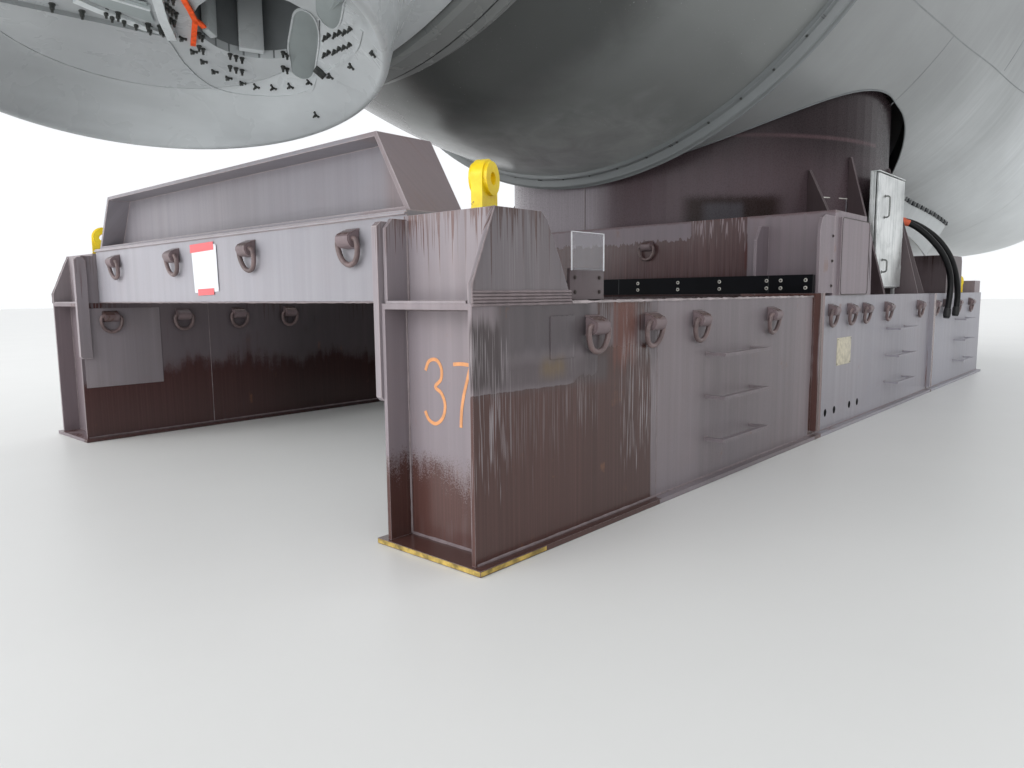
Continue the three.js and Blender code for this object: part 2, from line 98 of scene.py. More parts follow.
# ------------------------------------------------------------------ node arithmetic for materials
class Val:
    """A number or colour inside a material's node tree."""

    def __init__(self, t, s):
        self.t, self.s = t, s

    def _m(self, op, o=None, swap=False, third=None):
        n = self.t.nodes.new("ShaderNodeMath")
        n.operation = op
        a, b = (self, o) if not swap else (o, self)
        for k, v in ((0, a), (1, b), (2, third)):
            if v is None:
                continue
            if isinstance(v, Val):
                self.t.links.new(v.s, n.inputs[k])
            else:
                n.inputs[k].default_value = float(v)
        return Val(self.t, n.outputs[0])

    def __add__(self, o): return self._m("ADD", o)
    __radd__ = __add__
    def __mul__(self, o): return self._m("MULTIPLY", o)
    __rmul__ = __mul__
    def __sub__(self, o): return self._m("SUBTRACT", o)
    def __rsub__(self, o): return self._m("SUBTRACT", o, True)
    def __truediv__(self, o): return self._m("DIVIDE", o)
    def __rtruediv__(self, o): return self._m("DIVIDE", o, True)
    def absolute(self): return self._m("ABSOLUTE")
    def power(self, e): return self._m("POWER", e)
    def fract(self): return self._m("FRACT")
    def floor(self): return self._m("FLOOR")
    def sqrt(self): return self._m("SQRT")
    def at_least(self, o): return self._m("MAXIMUM", o)
    def at_most(self, o): return self._m("MINIMUM", o)

    def smooth(self, a, b, lo=0.0, hi=1.0):
        """0 to 1 as the value goes from a to b, smoothly; b may be below a."""
        if b < a:
            a, b, lo, hi = b, a, hi, lo
        n = self.t.nodes.new("ShaderNodeMapRange")
        n.interpolation_type = "SMOOTHSTEP"
        n.inputs["From Min"].default_value = a
        n.inputs["From Max"].default_value = b
        n.inputs["To Min"].default_value = lo
        n.inputs["To Max"].default_value = hi
        self.t.links.new(self.s, n.inputs["Value"])
        return Val(self.t, n.outputs["Result"])

    def band(self, a, b, soft):
        """1 between a and b, with soft edges."""
        return self.smooth(a - soft, a + soft) * self.smooth(b + soft, b - soft)

    def clamp(self):
        n = self.t.nodes.new("ShaderNodeClamp")
        self.t.links.new(self.s, n.inputs[0])
        return Val(self.t, n.outputs[0])


class Mat:
    """A procedural material, written as expressions on the object's own coordinates."""

    def __init__(self, name):
        self.mat = bpy.data.materials.new(name)
        self.mat.use_nodes = True
        self.t = self.mat.node_tree
        self.t.nodes.clear()
        self.out = self.t.nodes.new("ShaderNodeOutputMaterial")
        self.p = self.t.nodes.new("ShaderNodeBsdfPrincipled")
        self.t.links.new(self.p.outputs[0], self.out.inputs[0])
        tc = self.t.nodes.new("ShaderNodeTexCoord")
        self.obj = tc.outputs["Object"]
        sep = self.t.nodes.new("ShaderNodeSeparateXYZ")
        self.t.links.new(self.obj, sep.inputs[0])
        self.x, self.y, self.z = (Val(self.t, sep.outputs[i]) for i in range(3))
        geo = self.t.nodes.new("ShaderNodeNewGeometry")
        ns = self.t.nodes.new("ShaderNodeSeparateXYZ")
        self.t.links.new(geo.outputs["Normal"], ns.inputs[0])
        self.nx, self.ny, self.nz = (Val(self.t, ns.outputs[i]) for i in range(3))

    def vec(self, a, b, c):
        n = self.t.nodes.new("ShaderNodeCombineXYZ")
        for k, v in enumerate((a, b, c)):
            if isinstance(v, Val):
                self.t.links.new(v.s, n.inputs[k])
            else:
                n.inputs[k].default_value = float(v)
        return n.outputs[0]

    def noise(self, vec=None, scale=1.0, detail=3.0, rough=0.55, dist=0.0):
        n = self.t.nodes.new("ShaderNodeTexNoise")
        n.inputs["Scale"].default_value = scale
        n.inputs["Detail"].default_value = detail
        n.inputs["Roughness"].default_value = rough
        n.inputs["Distortion"].default_value = dist
        self.t.links.new(vec if vec is not None else self.obj, n.inputs["Vector"])
        return Val(self.t, n.outputs[0])

    def voronoi(self, vec=None, scale=1.0, feature="F1", rand=1.0):
        n = self.t.nodes.new("ShaderNodeTexVoronoi")
        n.feature = feature
        n.inputs["Scale"].default_value = scale
        n.inputs["Randomness"].default_value = rand
        self.t.links.new(vec if vec is not None else self.obj, n.inputs["Vector"])
        return Val(self.t, n.outputs[0]), n

    def rgb(self, c):
        n = self.t.nodes.new("ShaderNodeRGB")
        n.outputs[0].default_value = (*c, 1)
        return Val(self.t, n.outputs[0])

    def mix(self, fac, a, b):
        n = self.t.nodes.new("ShaderNodeMix")
        n.data_type = "RGBA"
        if isinstance(fac, Val):
            self.t.links.new(fac.s, n.inputs[0])
        else:
            n.inputs[0].default_value = fac
        for k, v in ((6, a), (7, b)):
            if isinstance(v, Val):
                self.t.links.new(v.s, n.inputs[k])
            else:
                n.inputs[k].default_value = (*v, 1)
        return Val(self.t, n.outputs[2])

    def scaled(self, colour, f):
        n = self.t.nodes.new("ShaderNodeVectorMath")
        n.operation = "SCALE"
        self.t.links.new(colour.s, n.inputs[0])
        n.inputs[3].default_value = f
        return Val(self.t, n.outputs[0])

    def lerp(self, fac, a, b):
        n = self.t.nodes.new("ShaderNodeMix")
        n.data_type = "FLOAT"
        for k, v in ((0, fac), (2, a), (3, b)):
            if isinstance(v, Val):
                self.t.links.new(v.s, n.inputs[k])
            else:
                n.inputs[k].default_value = v
        return Val(self.t, n.outputs[0])

    def color(self, c):
        if isinstance(c, Val):
            self.t.links.new(c.s, self.p.inputs["Base Color"])
        else:
            self.p.inputs["Base Color"].default_value = (*c, 1)

    def rough(self, r):
        if isinstance(r, Val):
            self.t.links.new(r.s, self.p.inputs["Roughness"])
        else:
            self.p.inputs["Roughness"].default_value = r

    def bump(self, height, distance, strength=1.0):
        n = self.t.nodes.new("ShaderNodeBump")
        n.inputs["Distance"].default_value = distance
        n.inputs["Strength"].default_value = strength
        self.t.links.new(height.s, n.inputs["Height"])
        self.t.links.new(n.outputs[0], self.p.inputs["Normal"])

    def const(self, **kw):
        for k, v in kw.items():
            self.p.inputs[k.replace("_", " ")].default_value = v


def field(k, zone, edge, ragged, speck):
    """Soft box of a material's field: x, y and z limits, softness, amount, slope along x, softness in y, raggedness
    of its lower and upper edge (1 ragged like runs, 0 straight, below 0 speckled)."""
    xa, xb, ya, yb, za, zb, soft, amount = zone[:8]
    slope = zone[8] if len(zone) > 8 else 0.0
    ysoft = zone[9] if len(zone) > 9 else 0.006
    rag = zone[10] if len(zone) > 10 else 1.0
    wx = (k.x + edge * max(0.0, rag)).band(xa, xb, soft)
    wy = k.y.band(ya, yb, ysoft)
    wz = (k.z - (k.x - xa) * slope + (ragged * rag if rag >= 0 else speck * -rag)).band(za, zb, soft * 1.5)
    return wx * wy * wz * amount


def primer(name, dry, wet, zones=(), top_z=DECK, wet_bias=0.0, drips=0.35, rust=0.0, mottle=1.0, gloss=0.22, shade=(), drip_strength=0.12, front_light=None, tints=(), streaks=(), streak_scale=62.0, streak_tone=None, thread_at=(0.565, 0.63), dry_rough=0.46, ior=1.5, streak_beads=0.7):
    """Brown primer: dry mauve grey with fine run marks, wet dark brown in patches and drips."""
    k = Mat(name)
    s = k.x + k.y * 1.07
    fine = k.noise(k.vec(s * 52.0, k.z * 0.45, 0.0), 1.0, 4.0, 0.62)
    mid = k.noise(k.vec(s * 13.0, k.z * 0.30, 3.0), 1.0, 3.0, 0.55)
    broad = k.noise(k.vec(k.x * 0.8, k.y * 0.8, k.z * 0.9), 1.0, 3.0, 0.55, 0.3)
    cloud = k.noise(None, 5.0, 5.0, 0.6)
    grain = k.noise(None, 70.0, 3.0, 0.6)
    # runs of water that end at uneven heights under the top edge
    run = k.noise(k.vec(s * 34.0, 0.0, 7.0), 1.0, 2.0, 0.7)
    length = run.smooth(0.42, 0.80) * drips
    below = top_z - k.z
    drip = (length - below).smooth(-0.02, 0.04) * below.smooth(-0.03, 0.0)
    wetness = broad * 0.8 + mid * 0.30 + fine * 0.20 - 0.70 + wet_bias + drip * drip_strength
    speck = (k.noise(None, 130.0, 3.0, 0.75) - 0.5) * 1.2 + (cloud - 0.5) * 0.5
    edge = (fine - 0.5) * 0.10 + (mid - 0.5) * 0.16
    ragged = (mid - 0.5) * 0.22 + (fine - 0.5) * 0.14
    for zone in zones:
        wetness = wetness + field(k, zone, edge, ragged, speck)
    flat = k.nz.smooth(0.6, 0.9)
    wetness = wetness + flat * (cloud - 0.25) * 0.9
    w = wetness.smooth(0.0, 0.20)
    tone = k.mix(mid.smooth(0.28, 0.75), tuple(c * (1 - 0.11 * mottle) for c in dry), tuple(min(1, c * (1 + 0.10 * mottle)) for c in dry))
    tone = k.mix(broad.smooth(0.3, 0.7) * 0.5 * mottle, tone, (dry[0] * 0.96, dry[1] * 1.0, dry[2] * 1.06))
    tone = k.mix(fine.smooth(0.52, 0.80) * 0.30 * mottle, tone, tuple(min(1, c * 1.30 + 0.015) for c in dry))
    tone = k.mix(fine.smooth(0.44, 0.22) * 0.30 * mottle, tone, (dry[0] * 0.80, dry[1] * 0.70, dry[2] * 0.68))
    tone = k.mix(cloud.smooth(0.45, 0.8) * 0.22, tone, (dry[0] * 1.06, dry[1] * 0.95, dry[2] * 0.92))
    wtone = k.mix(fine.smooth(0.35, 0.78), tuple(c * 0.92 for c in wet), tuple(c * 1.32 for c in wet))
    wtone = k.mix(mid.smooth(0.5, 0.75) * 0.5, wtone, tuple(c * 1.22 for c in wet))
    col = k.mix(w, tone, wtone)
    # pale marks where water has dried
    chalk = (k.noise(k.vec(s * 24.0, k.z * 1.1, 11.0), 1.0, 4.0, 0.7).smooth(0.66, 0.76)) * (1 - w) * 0.34 * mottle
    col = k.mix(chalk, col, tuple(min(1, c * 1.6 + 0.03) for c in dry))
    # shade zones darken the colour to 30 %: painted shade where shadow falls on some materials, a darker wet tone on
    # others
    if shade:
        dark = None
        for zone in shade:
            q = field(k, zone, edge * 0.4, ragged * 0.5, speck)
            dark = q if dark is None else dark + q
        col = k.mix(dark.clamp(), col, k.scaled(col, 0.30))
    for zone, colour in tints:
        body = k.mix(fine.smooth(0.3, 0.8), tuple(c * 0.9 for c in colour), tuple(c * 1.12 for c in colour))
        col = k.mix(field(k, zone, edge, ragged, speck).clamp(), col, body)
    if streaks:
        # fine pale runs, each ending at a height of its own
        st = k.noise(k.vec(s * streak_scale, k.z * streak_beads, 5.0), 1.0, 2.0, 0.5)
        ends = k.noise(k.vec(s * streak_scale * 0.55, 2.0, 9.0), 1.0, 1.0, 0.5) - 0.5
        thread = st.smooth(*thread_at)
        total = None
        for zone in streaks:
            q = field(k, zone, edge, ends * 1.1, speck)
            total = q if total is None else total + q
        col = k.mix((thread * total).clamp(), col, streak_tone or tuple(min(1, c * 1.25 + 0.02) for c in dry))
    # painted light: faces turned to -X made lighter
    if front_light:
        amount, factor = front_light
        col = k.mix(k.nx.smooth(-0.45, -0.98) * amount, col, k.scaled(col, factor))
    if rust:
        r = (cloud.smooth(0.62, 0.74) * mid.smooth(0.5, 0.62)) * rust
        col = k.mix(r, col, (0.20, 0.085, 0.035))
    k.color(col)
    k.rough(k.lerp(w, dry_rough + (grain - 0.5) * 0.2, gloss + (cloud - 0.5) * 0.12 + (fine - 0.5) * 0.10))
    k.bump(grain * 0.30 + fine * 0.22 + cloud * 0.5, 0.0014)
    k.const(Metallic=0.0, IOR=ior)
    return k.mat


def srgb(r, g, b):
    def f(c):
        c = c / 255
        return c / 12.92 if c <= 0.04045 else ((c + 0.055) / 1.055) ** 2.4
    return (f(r), f(g), f(b))


DRY = srgb(136, 124, 127)
DRY_LIGHT = srgb(156, 150, 156)
WET = srgb(96, 74, 70)
WET_RED = srgb(104, 76, 72)
WEB_R = (-3.1, -2.906)      # outer face of the right girder
PLATE_END = (-2.904, -2.2)  # its closing plate at the front end
WEB_LI = (2.1, 2.262)       # inner face of the left girder
# front_light here is painted light on the end faces turned to -X; the shade zones darken the upper web in a darker wet
# tone and patches further back
M_GIRDER_RF = primer("primer_girder_front_right", srgb(130, 120, 123), srgb(78, 53, 49),
                     zones=[(-6.1, -5.16, *WEB_R, -0.2, 0.868, 0.012, 1.1, -0.02, 0.006, 0.10), (-5.18, -4.90, *WEB_R, -0.2, 0.87, 0.06, 0.8, -0.02, 0.006, 0.5), (-6.1, -4.35, -3.1, -2.9, -0.2, 0.03, 0.05, 0.4),
                            (-4.92, -4.38, *WEB_R, -0.2, 1.00, 0.06, 0.75, 0.0, 0.006, 0.6), (-4.98, -4.38, *WEB_R, 0.9, 1.4, 0.035, 0.2), (-4.30, -4.02, *WEB_R, -0.2, 1.5, 0.02, -0.9),
                            (-4.0, -2.3, *WEB_R, -0.2, 1.5, 0.10, -0.45), (-2.2, -1.62, *WEB_R, 0.55, 1.5, 0.08, -0.5),
                            (-6.1, -5.7, *PLATE_END, -0.2, 0.42, 0.16, 0.42, 0.0, 0.006, -0.28), (-6.1, -5.7, *PLATE_END, 0.60, 1.4, 0.10, -0.45, 0.0, 0.006, -0.2),
                            (-1.62, -1.40, -3.1, -2.0, -0.2, 1.5, 0.012, 0.42)],
                     shade=[(-5.80, -5.05, *WEB_R, 1.02, 1.5, 0.05, 0.78, 0.0), (-5.08, -4.3, *WEB_R, 0.90, 1.5, 0.05, 0.45), (-5.1, -4.3, *WEB_R, -0.2, 0.9, 0.08, 0.16), (-3.75, -2.0, *WEB_R, -0.2, 1.5, 0.12, 0.24)],
                     tints=[((-6.1, -5.78, *WEB_R, 0.87, 1.20, 0.03, 0.95), srgb(74, 65, 66)), ((-5.80, -4.86, *WEB_R, 0.868, 1.02, 0.03, 0.75, -0.02, 0.006, 0.15), srgb(77, 68, 70)),
                            ((-5.46, -5.26, *WEB_R, 0.925, 0.995, 0.04, 0.6, 0.0, 0.006, 0.3), srgb(122, 100, 58)), ((-4.78, -4.54, *WEB_R, 0.94, 1.5, 0.05, 0.9), srgb(98, 54, 42))],
                     streaks=[(-6.0, -5.70, *WEB_R, 0.46, 1.16, 0.03, 0.85), (-5.70, -5.25, *WEB_R, 0.50, 0.92, 0.06, 0.22), (-5.25, -4.95, *WEB_R, 0.66, 0.98, 0.05, 0.45),
                              (-4.70, -4.27, *WEB_R, 0.36, 1.10, 0.03, 1.0), (-3.95, -3.0, *WEB_R, 0.2, 1.28, 0.05, 0.14)],
                     streak_tone=srgb(146, 138, 141), thread_at=(0.545, 0.61), streak_scale=118.0, streak_beads=2.2, drips=0.45, wet_bias=-0.10, rust=0.6, front_light=(0.14, 2.2))
M_GIRDER = primer("primer_girder", DRY, WET, drips=0.45, wet_bias=-0.05, rust=0.5)
# darker base and shade zones: painted shade on the inner faces under the cross girder and the nacelle, with wet
# patches low down
M_GIRDER_L = primer("primer_girder_left", srgb(124, 112, 116), srgb(86, 56, 54), drips=0.5, wet_bias=-0.02, rust=0.4,
                    zones=[(-5.2, 6.0, *WEB_LI, -0.2, 0.62, 0.14, 0.40, 0.0, 0.006, -0.5), (-6.1, -5.2, *WEB_LI, -0.2, 0.52, 0.10, 0.60, 0.0, 0.006, -0.25)],
                    shade=[(-6.1, 6.5, *WEB_LI, -0.5, 1.6, 0.3, 0.42), (-5.1, 6.5, *WEB_LI, -0.5, 1.6, 0.45, 0.14), (-3.9, 6.5, *WEB_LI, -0.5, 1.6, 0.8, 0.62)])
M_GIRDER_RM = primer("primer_girder_middle_right", srgb(150, 146, 152), srgb(110, 88, 86),
                     zones=[(-1.62, -1.45, -3.1, -2.0, -0.2, 1.5, 0.012, 1.2), (2.6, 2.72, -3.1, -2.0, -0.2, 1.5, 0.012, 1.2)],
                     drips=0.3, wet_bias=-0.22, rust=0.5, mottle=0.8)
M_GIRDER_RR = primer("primer_girder_rear_right", srgb(160, 158, 165), srgb(122, 102, 102),
                     zones=[(2.55, 2.68, -3.1, -2.0, -0.2, 1.5, 0.012, 1.2)], drips=0.25, wet_bias=-0.24, rust=0.4, mottle=0.7)
# front_light is painted light on the front plate; the shade zone is painted shade on the side plate
M_POST = primer("primer_post", srgb(137, 128, 131), WET, top_z=1.78, drips=0.62, wet_bias=-0.12, drip_strength=0.26, front_light=(0.14, 2.2),
                shade=[(-6.1, -5.1, *WEB_R, 1.2, 2.0, 0.03, 0.46)],
                streaks=[(-5.80, -5.45, *WEB_R, 1.42, 1.72, 0.05, 0.5), (-5.97, -5.3, *WEB_R, 1.34, 1.6, 0.05, 0.16)], streak_tone=srgb(140, 136, 138), thread_at=(0.55, 0.61), streak_scale=110.0)
# the shade zone is painted shade, darker towards the right-hand end of the front web
M_CROSS = primer("primer_cross", srgb(162, 159, 165), srgb(124, 112, 113), top_z=1.81, drips=0.2, wet_bias=-0.26, mottle=0.55, drip_strength=0.06,
                 shade=[(-6.1, -5.0, -4.0, -1.1, 0.0, 2.5, 0.1, 0.28, 0.0, 1.0)])
M_HUMP = primer("primer_hump", srgb(139, 134, 139), srgb(112, 92, 90), top_z=2.27, drips=0.2, wet_bias=-0.18, drip_strength=0.06,
                zones=[(-6.1, -5.0, -2.5, -1.72, 1.7, 2.4, 0.08, 0.12, 0.0, 0.1)], tints=[((-6.1, -5.0, -2.5, -1.80, 1.7, 2.4, 0.08, 0.5, 0.0, 0.06), srgb(134, 114, 112))], mottle=0.7)
M_SEAT = primer("primer_seat", srgb(130, 118, 123), srgb(84, 62, 62), top_z=1.93, drips=0.35, wet_bias=-0.02, rust=0.4, drip_strength=0.10,
                zones=[(-1.3, -1.0, -1.42, 3.1, 1.915, 2.3, 0.010, -0.9, 0.0, 0.03, 0.8), (-1.3, -1.0, -2.06, 3.1, 1.25, 1.915, 0.010, 0.5, 0.0, 0.02, 0.8),
                       (-1.3, -1.0, -2.055, -1.42, 1.9, 2.3, 0.02, 0.5, 0.0, 0.01), (-1.3, -1.0, -3.0, -2.09, 1.25, 2.2, 0.03, -0.8, 0.0, 0.01),
                       (-0.98, -0.1, -3.0, -2.9, 1.2, 2.1, 0.05, -0.8)],
                tints=[((-1.3, -1.0, -3.0, 3.0, 2.092, 2.2, 0.008, 0.55, 0.0, 0.01, 0.2), srgb(88, 52, 50)), ((-1.3, -1.0, -2.065, -2.035, 1.55, 1.82, 0.02, 0.8, 0.0, 0.005), srgb(84, 44, 42))],
                streaks=[(-1.3, -1.0, -2.05, -1.44, 1.965, 2.075, 0.012, 1.4, 0.0, 0.02), (-1.3, -1.0, -2.0, 2.9, 1.45, 1.9, 0.05, 0.10, 0.0, 0.1)],
                streak_scale=56.0, streak_tone=srgb(140, 124, 128), thread_at=(0.45, 0.50))
M_DARK = primer("primer_dark", srgb(92, 80, 82), srgb(52, 38, 37), drips=0.4, wet_bias=0.05)
# first tint: painted reflection, a pale patch of sky on the adapter's front left; shade zones: painted shade over its
# upper part under the nacelle and on its right side
M_ADAPTER = primer("primer_adapter", srgb(94, 80, 84), srgb(40, 28, 28), top_z=4.1, drips=1.0, wet_bias=-0.10, drip_strength=0.1, mottle=0.8, dry_rough=0.28, ior=1.28,
                   tints=[((-2.0, 0.6, -0.22, 3.0, 1.8, 2.85, 0.20, 0.92, 0.0, 0.22, 0.3), srgb(150, 142, 148)), ((-2.0, 1.3, -3.0, 3.0, 3.052, 3.090, 0.010, 0.5, 0.0, 0.1, 0.0), srgb(104, 82, 86)),
                          ((-0.98, -0.02, -1.98, -1.16, 2.00, 2.41, 0.035, 1.0, 0.0, 0.08, -0.16), srgb(38, 20, 18)), ((-0.76, -0.42, -1.70, -1.34, 2.10, 2.34, 0.03, 0.85, 0.0, 0.06, -0.06), srgb(74, 70, 76))],
                   shade=[(-2.0, 4.5, -3.0, 3.0, 2.85, 4.6, 0.25, 0.78, 0.0, 0.1, 0.3), (-0.1, 4.5, -3.0, -0.5, 1.9, 4.6, 0.50, 0.36, 0.0, 0.1, 0.3)], gloss=0.14)
M_GUSSET = primer("primer_gusset", srgb(82, 70, 72), srgb(46, 33, 33), top_z=3.4, drips=0.6, wet_bias=0.0, mottle=0.8, ior=1.45)
# paler primers for the eased edges of the frame pieces: painted highlight where the wet edges catch the light
M_EDGE_HIGHLIGHT = primer("primer_edges_painted_highlight", srgb(166, 154, 155), srgb(120, 104, 103), top_z=9.0, drips=0.0, wet_bias=-0.12, mottle=0.8)
M_EDGE_HIGHLIGHT_DARK = primer("primer_edges_dark_painted_highlight", srgb(116, 103, 105), srgb(78, 62, 62), top_z=9.0, drips=0.0, wet_bias=-0.05, mottle=0.8)


def shell(name, base, variation=0.06, rough=0.3, specks=0.0, speck_color=(0.6, 0.62, 0.62), coat=0.0, dirt=0.08, lift=0.0, underside_light_z=(6.2, 2.7), front=0.0, front_x=(-2.7, -3.9), away=0.0, away_x=(9.0, 1.0), brushed=0.07, front_z=None, bands=0.0):
    """Painted fibreglass: soft clouds, faint run marks round the body, drops of water where it says so; lift paints
    light onto the undersides, front and away paint shade.
    """
    k = Mat(name)
    broad = k.noise(None, 0.55, 4.0, 0.55, 0.4)
    cloud = k.noise(None, 2.6, 4.0, 0.6, 0.6)
    r = ((k.z - AXIS_Z) * (k.z - AXIS_Z) + k.y * k.y).sqrt()
    brush = k.noise(k.vec(k.x * 9.0, r * 4.0, k.z * 1.2), 1.0, 3.0, 0.6)
    tone = k.mix(broad.smooth(0.3, 0.7), tuple(c * (1 - variation) for c in base), tuple(min(1, c * (1 + variation)) for c in base))
    tone = k.mix(cloud.smooth(0.35, 0.9) * dirt, tone, tuple(c * 0.75 for c in base))
    tone = k.mix(brush.smooth(0.45, 0.9) * brushed, tone, tuple(min(1, c * 1.15) for c in base))
    if lift:
        # painted light: the undersides made paler, standing in for light thrown up from the ground
        mask = ((k.z + (broad - 0.5) * 0.9 + (cloud - 0.5) * 0.35).smooth(*underside_light_z) * lift).clamp()
        tone = k.mix(mask, tone, k.scaled(tone, 2.05))
    # painted shade: darker towards the front; with front_z the upper part is darkened all along and the front
    # darkening kept low down
    if front:
        mask = (k.x + (cloud - 0.5) * 0.3).smooth(*front_x) * front
        if front_z:
            low = (k.z + (broad - 0.5) * 0.8).smooth(*front_z)
            mask = mask * low + (1 - low) * 0.62
        tone = k.mix(mask, tone, k.scaled(tone, 0.3))
    if bands:
        # long soft bands where the water ran back along the body
        flow = k.noise(k.vec(k.x * 0.55, k.y * 2.4, k.z * 4.5), 1.0, 3.0, 0.6)
        tone = k.mix(flow.smooth(0.50, 0.72) * bands, tone, k.scaled(tone, 1.25))
        tone = k.mix(flow.smooth(0.50, 0.28) * bands, tone, k.scaled(tone, 0.72))
    if away:
        # painted shade: darker towards the rotor and up the flanks, paler towards the tail and the belly where light
        # comes up from below; with light and dark runs of water
        runs = k.noise(k.vec(k.x * 16.0, k.y * 0.7, k.z * 0.7), 1.0, 4.0, 0.65)
        u = k.x + (4.0 - k.z) * 1.6 + (broad - 0.5) * 3.0 + (runs - 0.5) * 1.6
        tone = k.mix(u.smooth(*away_x) * away, tone, k.scaled(tone, 0.3))
        tone = k.mix(runs.smooth(0.52, 0.75) * 0.16, tone, k.scaled(tone, 1.25))
        tone = k.mix(runs.smooth(0.48, 0.25) * 0.16, tone, k.scaled(tone, 0.8))
    height = cloud * 0.3
    if specks:
        where = k.noise(None, 0.9, 3.0, 0.6).smooth(0.42, 0.66)
        total = None
        for sc, cut, amt in ((24.0, 0.15, 0.8), (11.0, 0.085, 1.0), (46.0, 0.2, 0.45)):
            warp = k.noise(None, sc * 0.8, 2.0, 0.5)
            d, n = k.voronoi(k.vec(k.x * 1.35 + warp * 0.03, k.y + warp * 0.02, k.z * 0.8), sc)
            dot = d.smooth(cut, cut * 0.35)
            pick = Val(k.t, n.outputs["Color"])
            sepc = k.t.nodes.new("ShaderNodeSeparateColor")
            k.t.links.new(pick.s, sepc.inputs[0])
            keep = Val(k.t, sepc.outputs[0]).smooth(0.72, 0.8)
            dot = dot * keep * amt
            total = dot if total is None else total.at_least(dot)
        total = total * where
        tone = k.mix(total * specks, tone, speck_color)
        height = height + total * 1.5
    k.color(tone)
    k.rough(rough + (cloud - 0.5) * 0.14)
    k.bump(height, 0.002, 0.6)
    k.const(IOR=1.5)
    if coat:
        k.const(Coat_Weight=coat, Coat_Roughness=0.12)
    return k.mat


# away: painted shade towards the rotor and up the flanks
M_SHELL = shell("shell_grey", srgb(212, 216, 217), rough=0.34, dirt=0.12, away=0.84, away_x=(9.0, 1.6))
# front with front_z: painted shade on the nose and over the upper part
M_HUB = shell("hub_grey", srgb(212, 217, 219), rough=0.28, variation=0.03, dirt=0.05, front=0.74, front_x=(-4.9, -6.8), front_z=(5.2, 3.4), bands=0.28)
# lift: painted light on the underside; front: painted shade towards its front
M_HOUSING = shell("housing_grey", srgb(130, 133, 132), rough=0.24, specks=0.5, variation=0.05, lift=0.95, underside_light_z=(3.2, 2.7), front=0.76, front_x=(-2.6, -3.3))
M_RING = shell("ring_grey", srgb(146, 149, 148), rough=0.26, variation=0.05)
# lift: a little painted light underneath
M_RIM = shell("rim_grey", srgb(122, 126, 127), rough=0.2, variation=0.05, lift=0.2, underside_light_z=(4.4, 2.7))
M_FLANGE = shell("flange_grey", srgb(206, 211, 211), rough=0.3, variation=0.03)


def plain(name, base, rough=0.5, metal=0.0, var=0.12, scale=6.0, bump=0.0006, **kw):
    """Paint, rubber, plastic or bare metal with soft variation of tone and gloss."""
    k = Mat(name)
    a = k.noise(None, scale, 4.0, 0.6, 0.3)
    b = k.noise(None, scale * 9, 3.0, 0.6)
    tone = k.mix(a.smooth(0.3, 0.7), tuple(c * (1 - var) for c in base), tuple(min(1, c * (1 + var)) for c in base))
    k.color(tone)
    k.rough(rough + (b - 0.5) * 0.15)
    k.bump(a * 0.4 + b * 0.4, bump)
    k.const(Metallic=metal, **kw)
    return k.mat


def yellow_paint():
    k = Mat("lug_yellow")
    a = k.noise(None, 12.0, 4.0, 0.6)
    b = k.noise(None, 60.0, 3.0, 0.6)
    scuff = (a * 0.6 + b * 0.4).smooth(0.60, 0.66)
    k.color(k.mix(scuff * 0.8, k.mix(a.smooth(0.3, 0.7), srgb(244, 208, 18), srgb(252, 226, 44)), srgb(150, 96, 40)))
    k.rough(0.36 + (b - 0.5) * 0.2)
    k.bump(a * 0.5 + b * 0.3, 0.001)
    return k.mat


def stainless():
    k = Mat("stainless")
    brush = k.noise(k.vec(k.x * 3.0, k.y * 3.0, k.z * 160.0), 1.0, 3.0, 0.6)
    cloud = k.noise(None, 4.0, 4.0, 0.6, 0.5)
    runs = k.noise(k.vec((k.x + k.y) * 38.0, k.z * 0.7, 1.0), 1.0, 3.0, 0.6)
    k.color(k.mix((cloud * 0.5 + runs * 0.5).smooth(0.4, 0.62), srgb(198, 201, 200), srgb(236, 238, 237)))
    k.rough(0.34 + (brush - 0.5) * 0.25 + (cloud - 0.5) * 0.2)
    k.bump(brush * 0.4 + cloud, 0.0008)
    k.const(Metallic=0.75)
    return k.mat


M_YELLOW = yellow_paint()
M_STAINLESS = stainless()
M_BLACK = plain("guard_black", srgb(6, 7, 12), 0.42, var=0.25, scale=3.0, IOR=1.22)
M_RUBBER = plain("seal_rubber", srgb(28, 28, 29), 0.55, var=0.2)
M_CABLE = plain("cable_black", srgb(14, 14, 16), 0.40, var=0.2, IOR=1.38)
M_BOLT = plain("bolt_dark", srgb(70, 62, 60), 0.42, 0.5, scale=40.0)
M_WASHER = plain("washer_pale", srgb(214, 212, 204), 0.45, 0.2, scale=40.0)
M_ZINC = plain("bolt_zinc", srgb(138, 140, 140), 0.32, 0.8, scale=30.0)
M_SEAM = plain("seam_dark", srgb(52, 54, 55), 0.6)
M_SEAL = plain("seal_grey", srgb(128, 132, 133), 0.5)
M_STRAP = plain("strap_orange", srgb(232, 84, 24), 0.6, var=0.2, scale=30.0)
M_PAPER = plain("sheet_white", srgb(238, 239, 243), 0.5, var=0.02)
M_TAPE_RED = plain("tape_red", srgb(232, 104, 108), 0.4, var=0.06)
M_TAPE_WHITE = plain("tape_white", srgb(226, 226, 230), 0.4, var=0.03)
M_LABEL = plain("label_plate", srgb(198, 190, 168), 0.45, var=0.22, scale=14.0)
M_GREASE = plain("yaw_steel", srgb(92, 94, 94), 0.42, 0.6, var=0.2)
M_YELLOW_WORN = plain("edge_yellow", srgb(176, 150, 76), 0.5, var=0.55, scale=14.0, bump=0.002)
M_ORANGE = plain("spray_orange", srgb(220, 154, 104), 0.6, var=0.12, scale=20.0)
# near-black walls of the drain holes: painted shade
M_HOLE_SHADE = plain("hole_wall_painted_shade", srgb(30, 31, 32), 0.7)


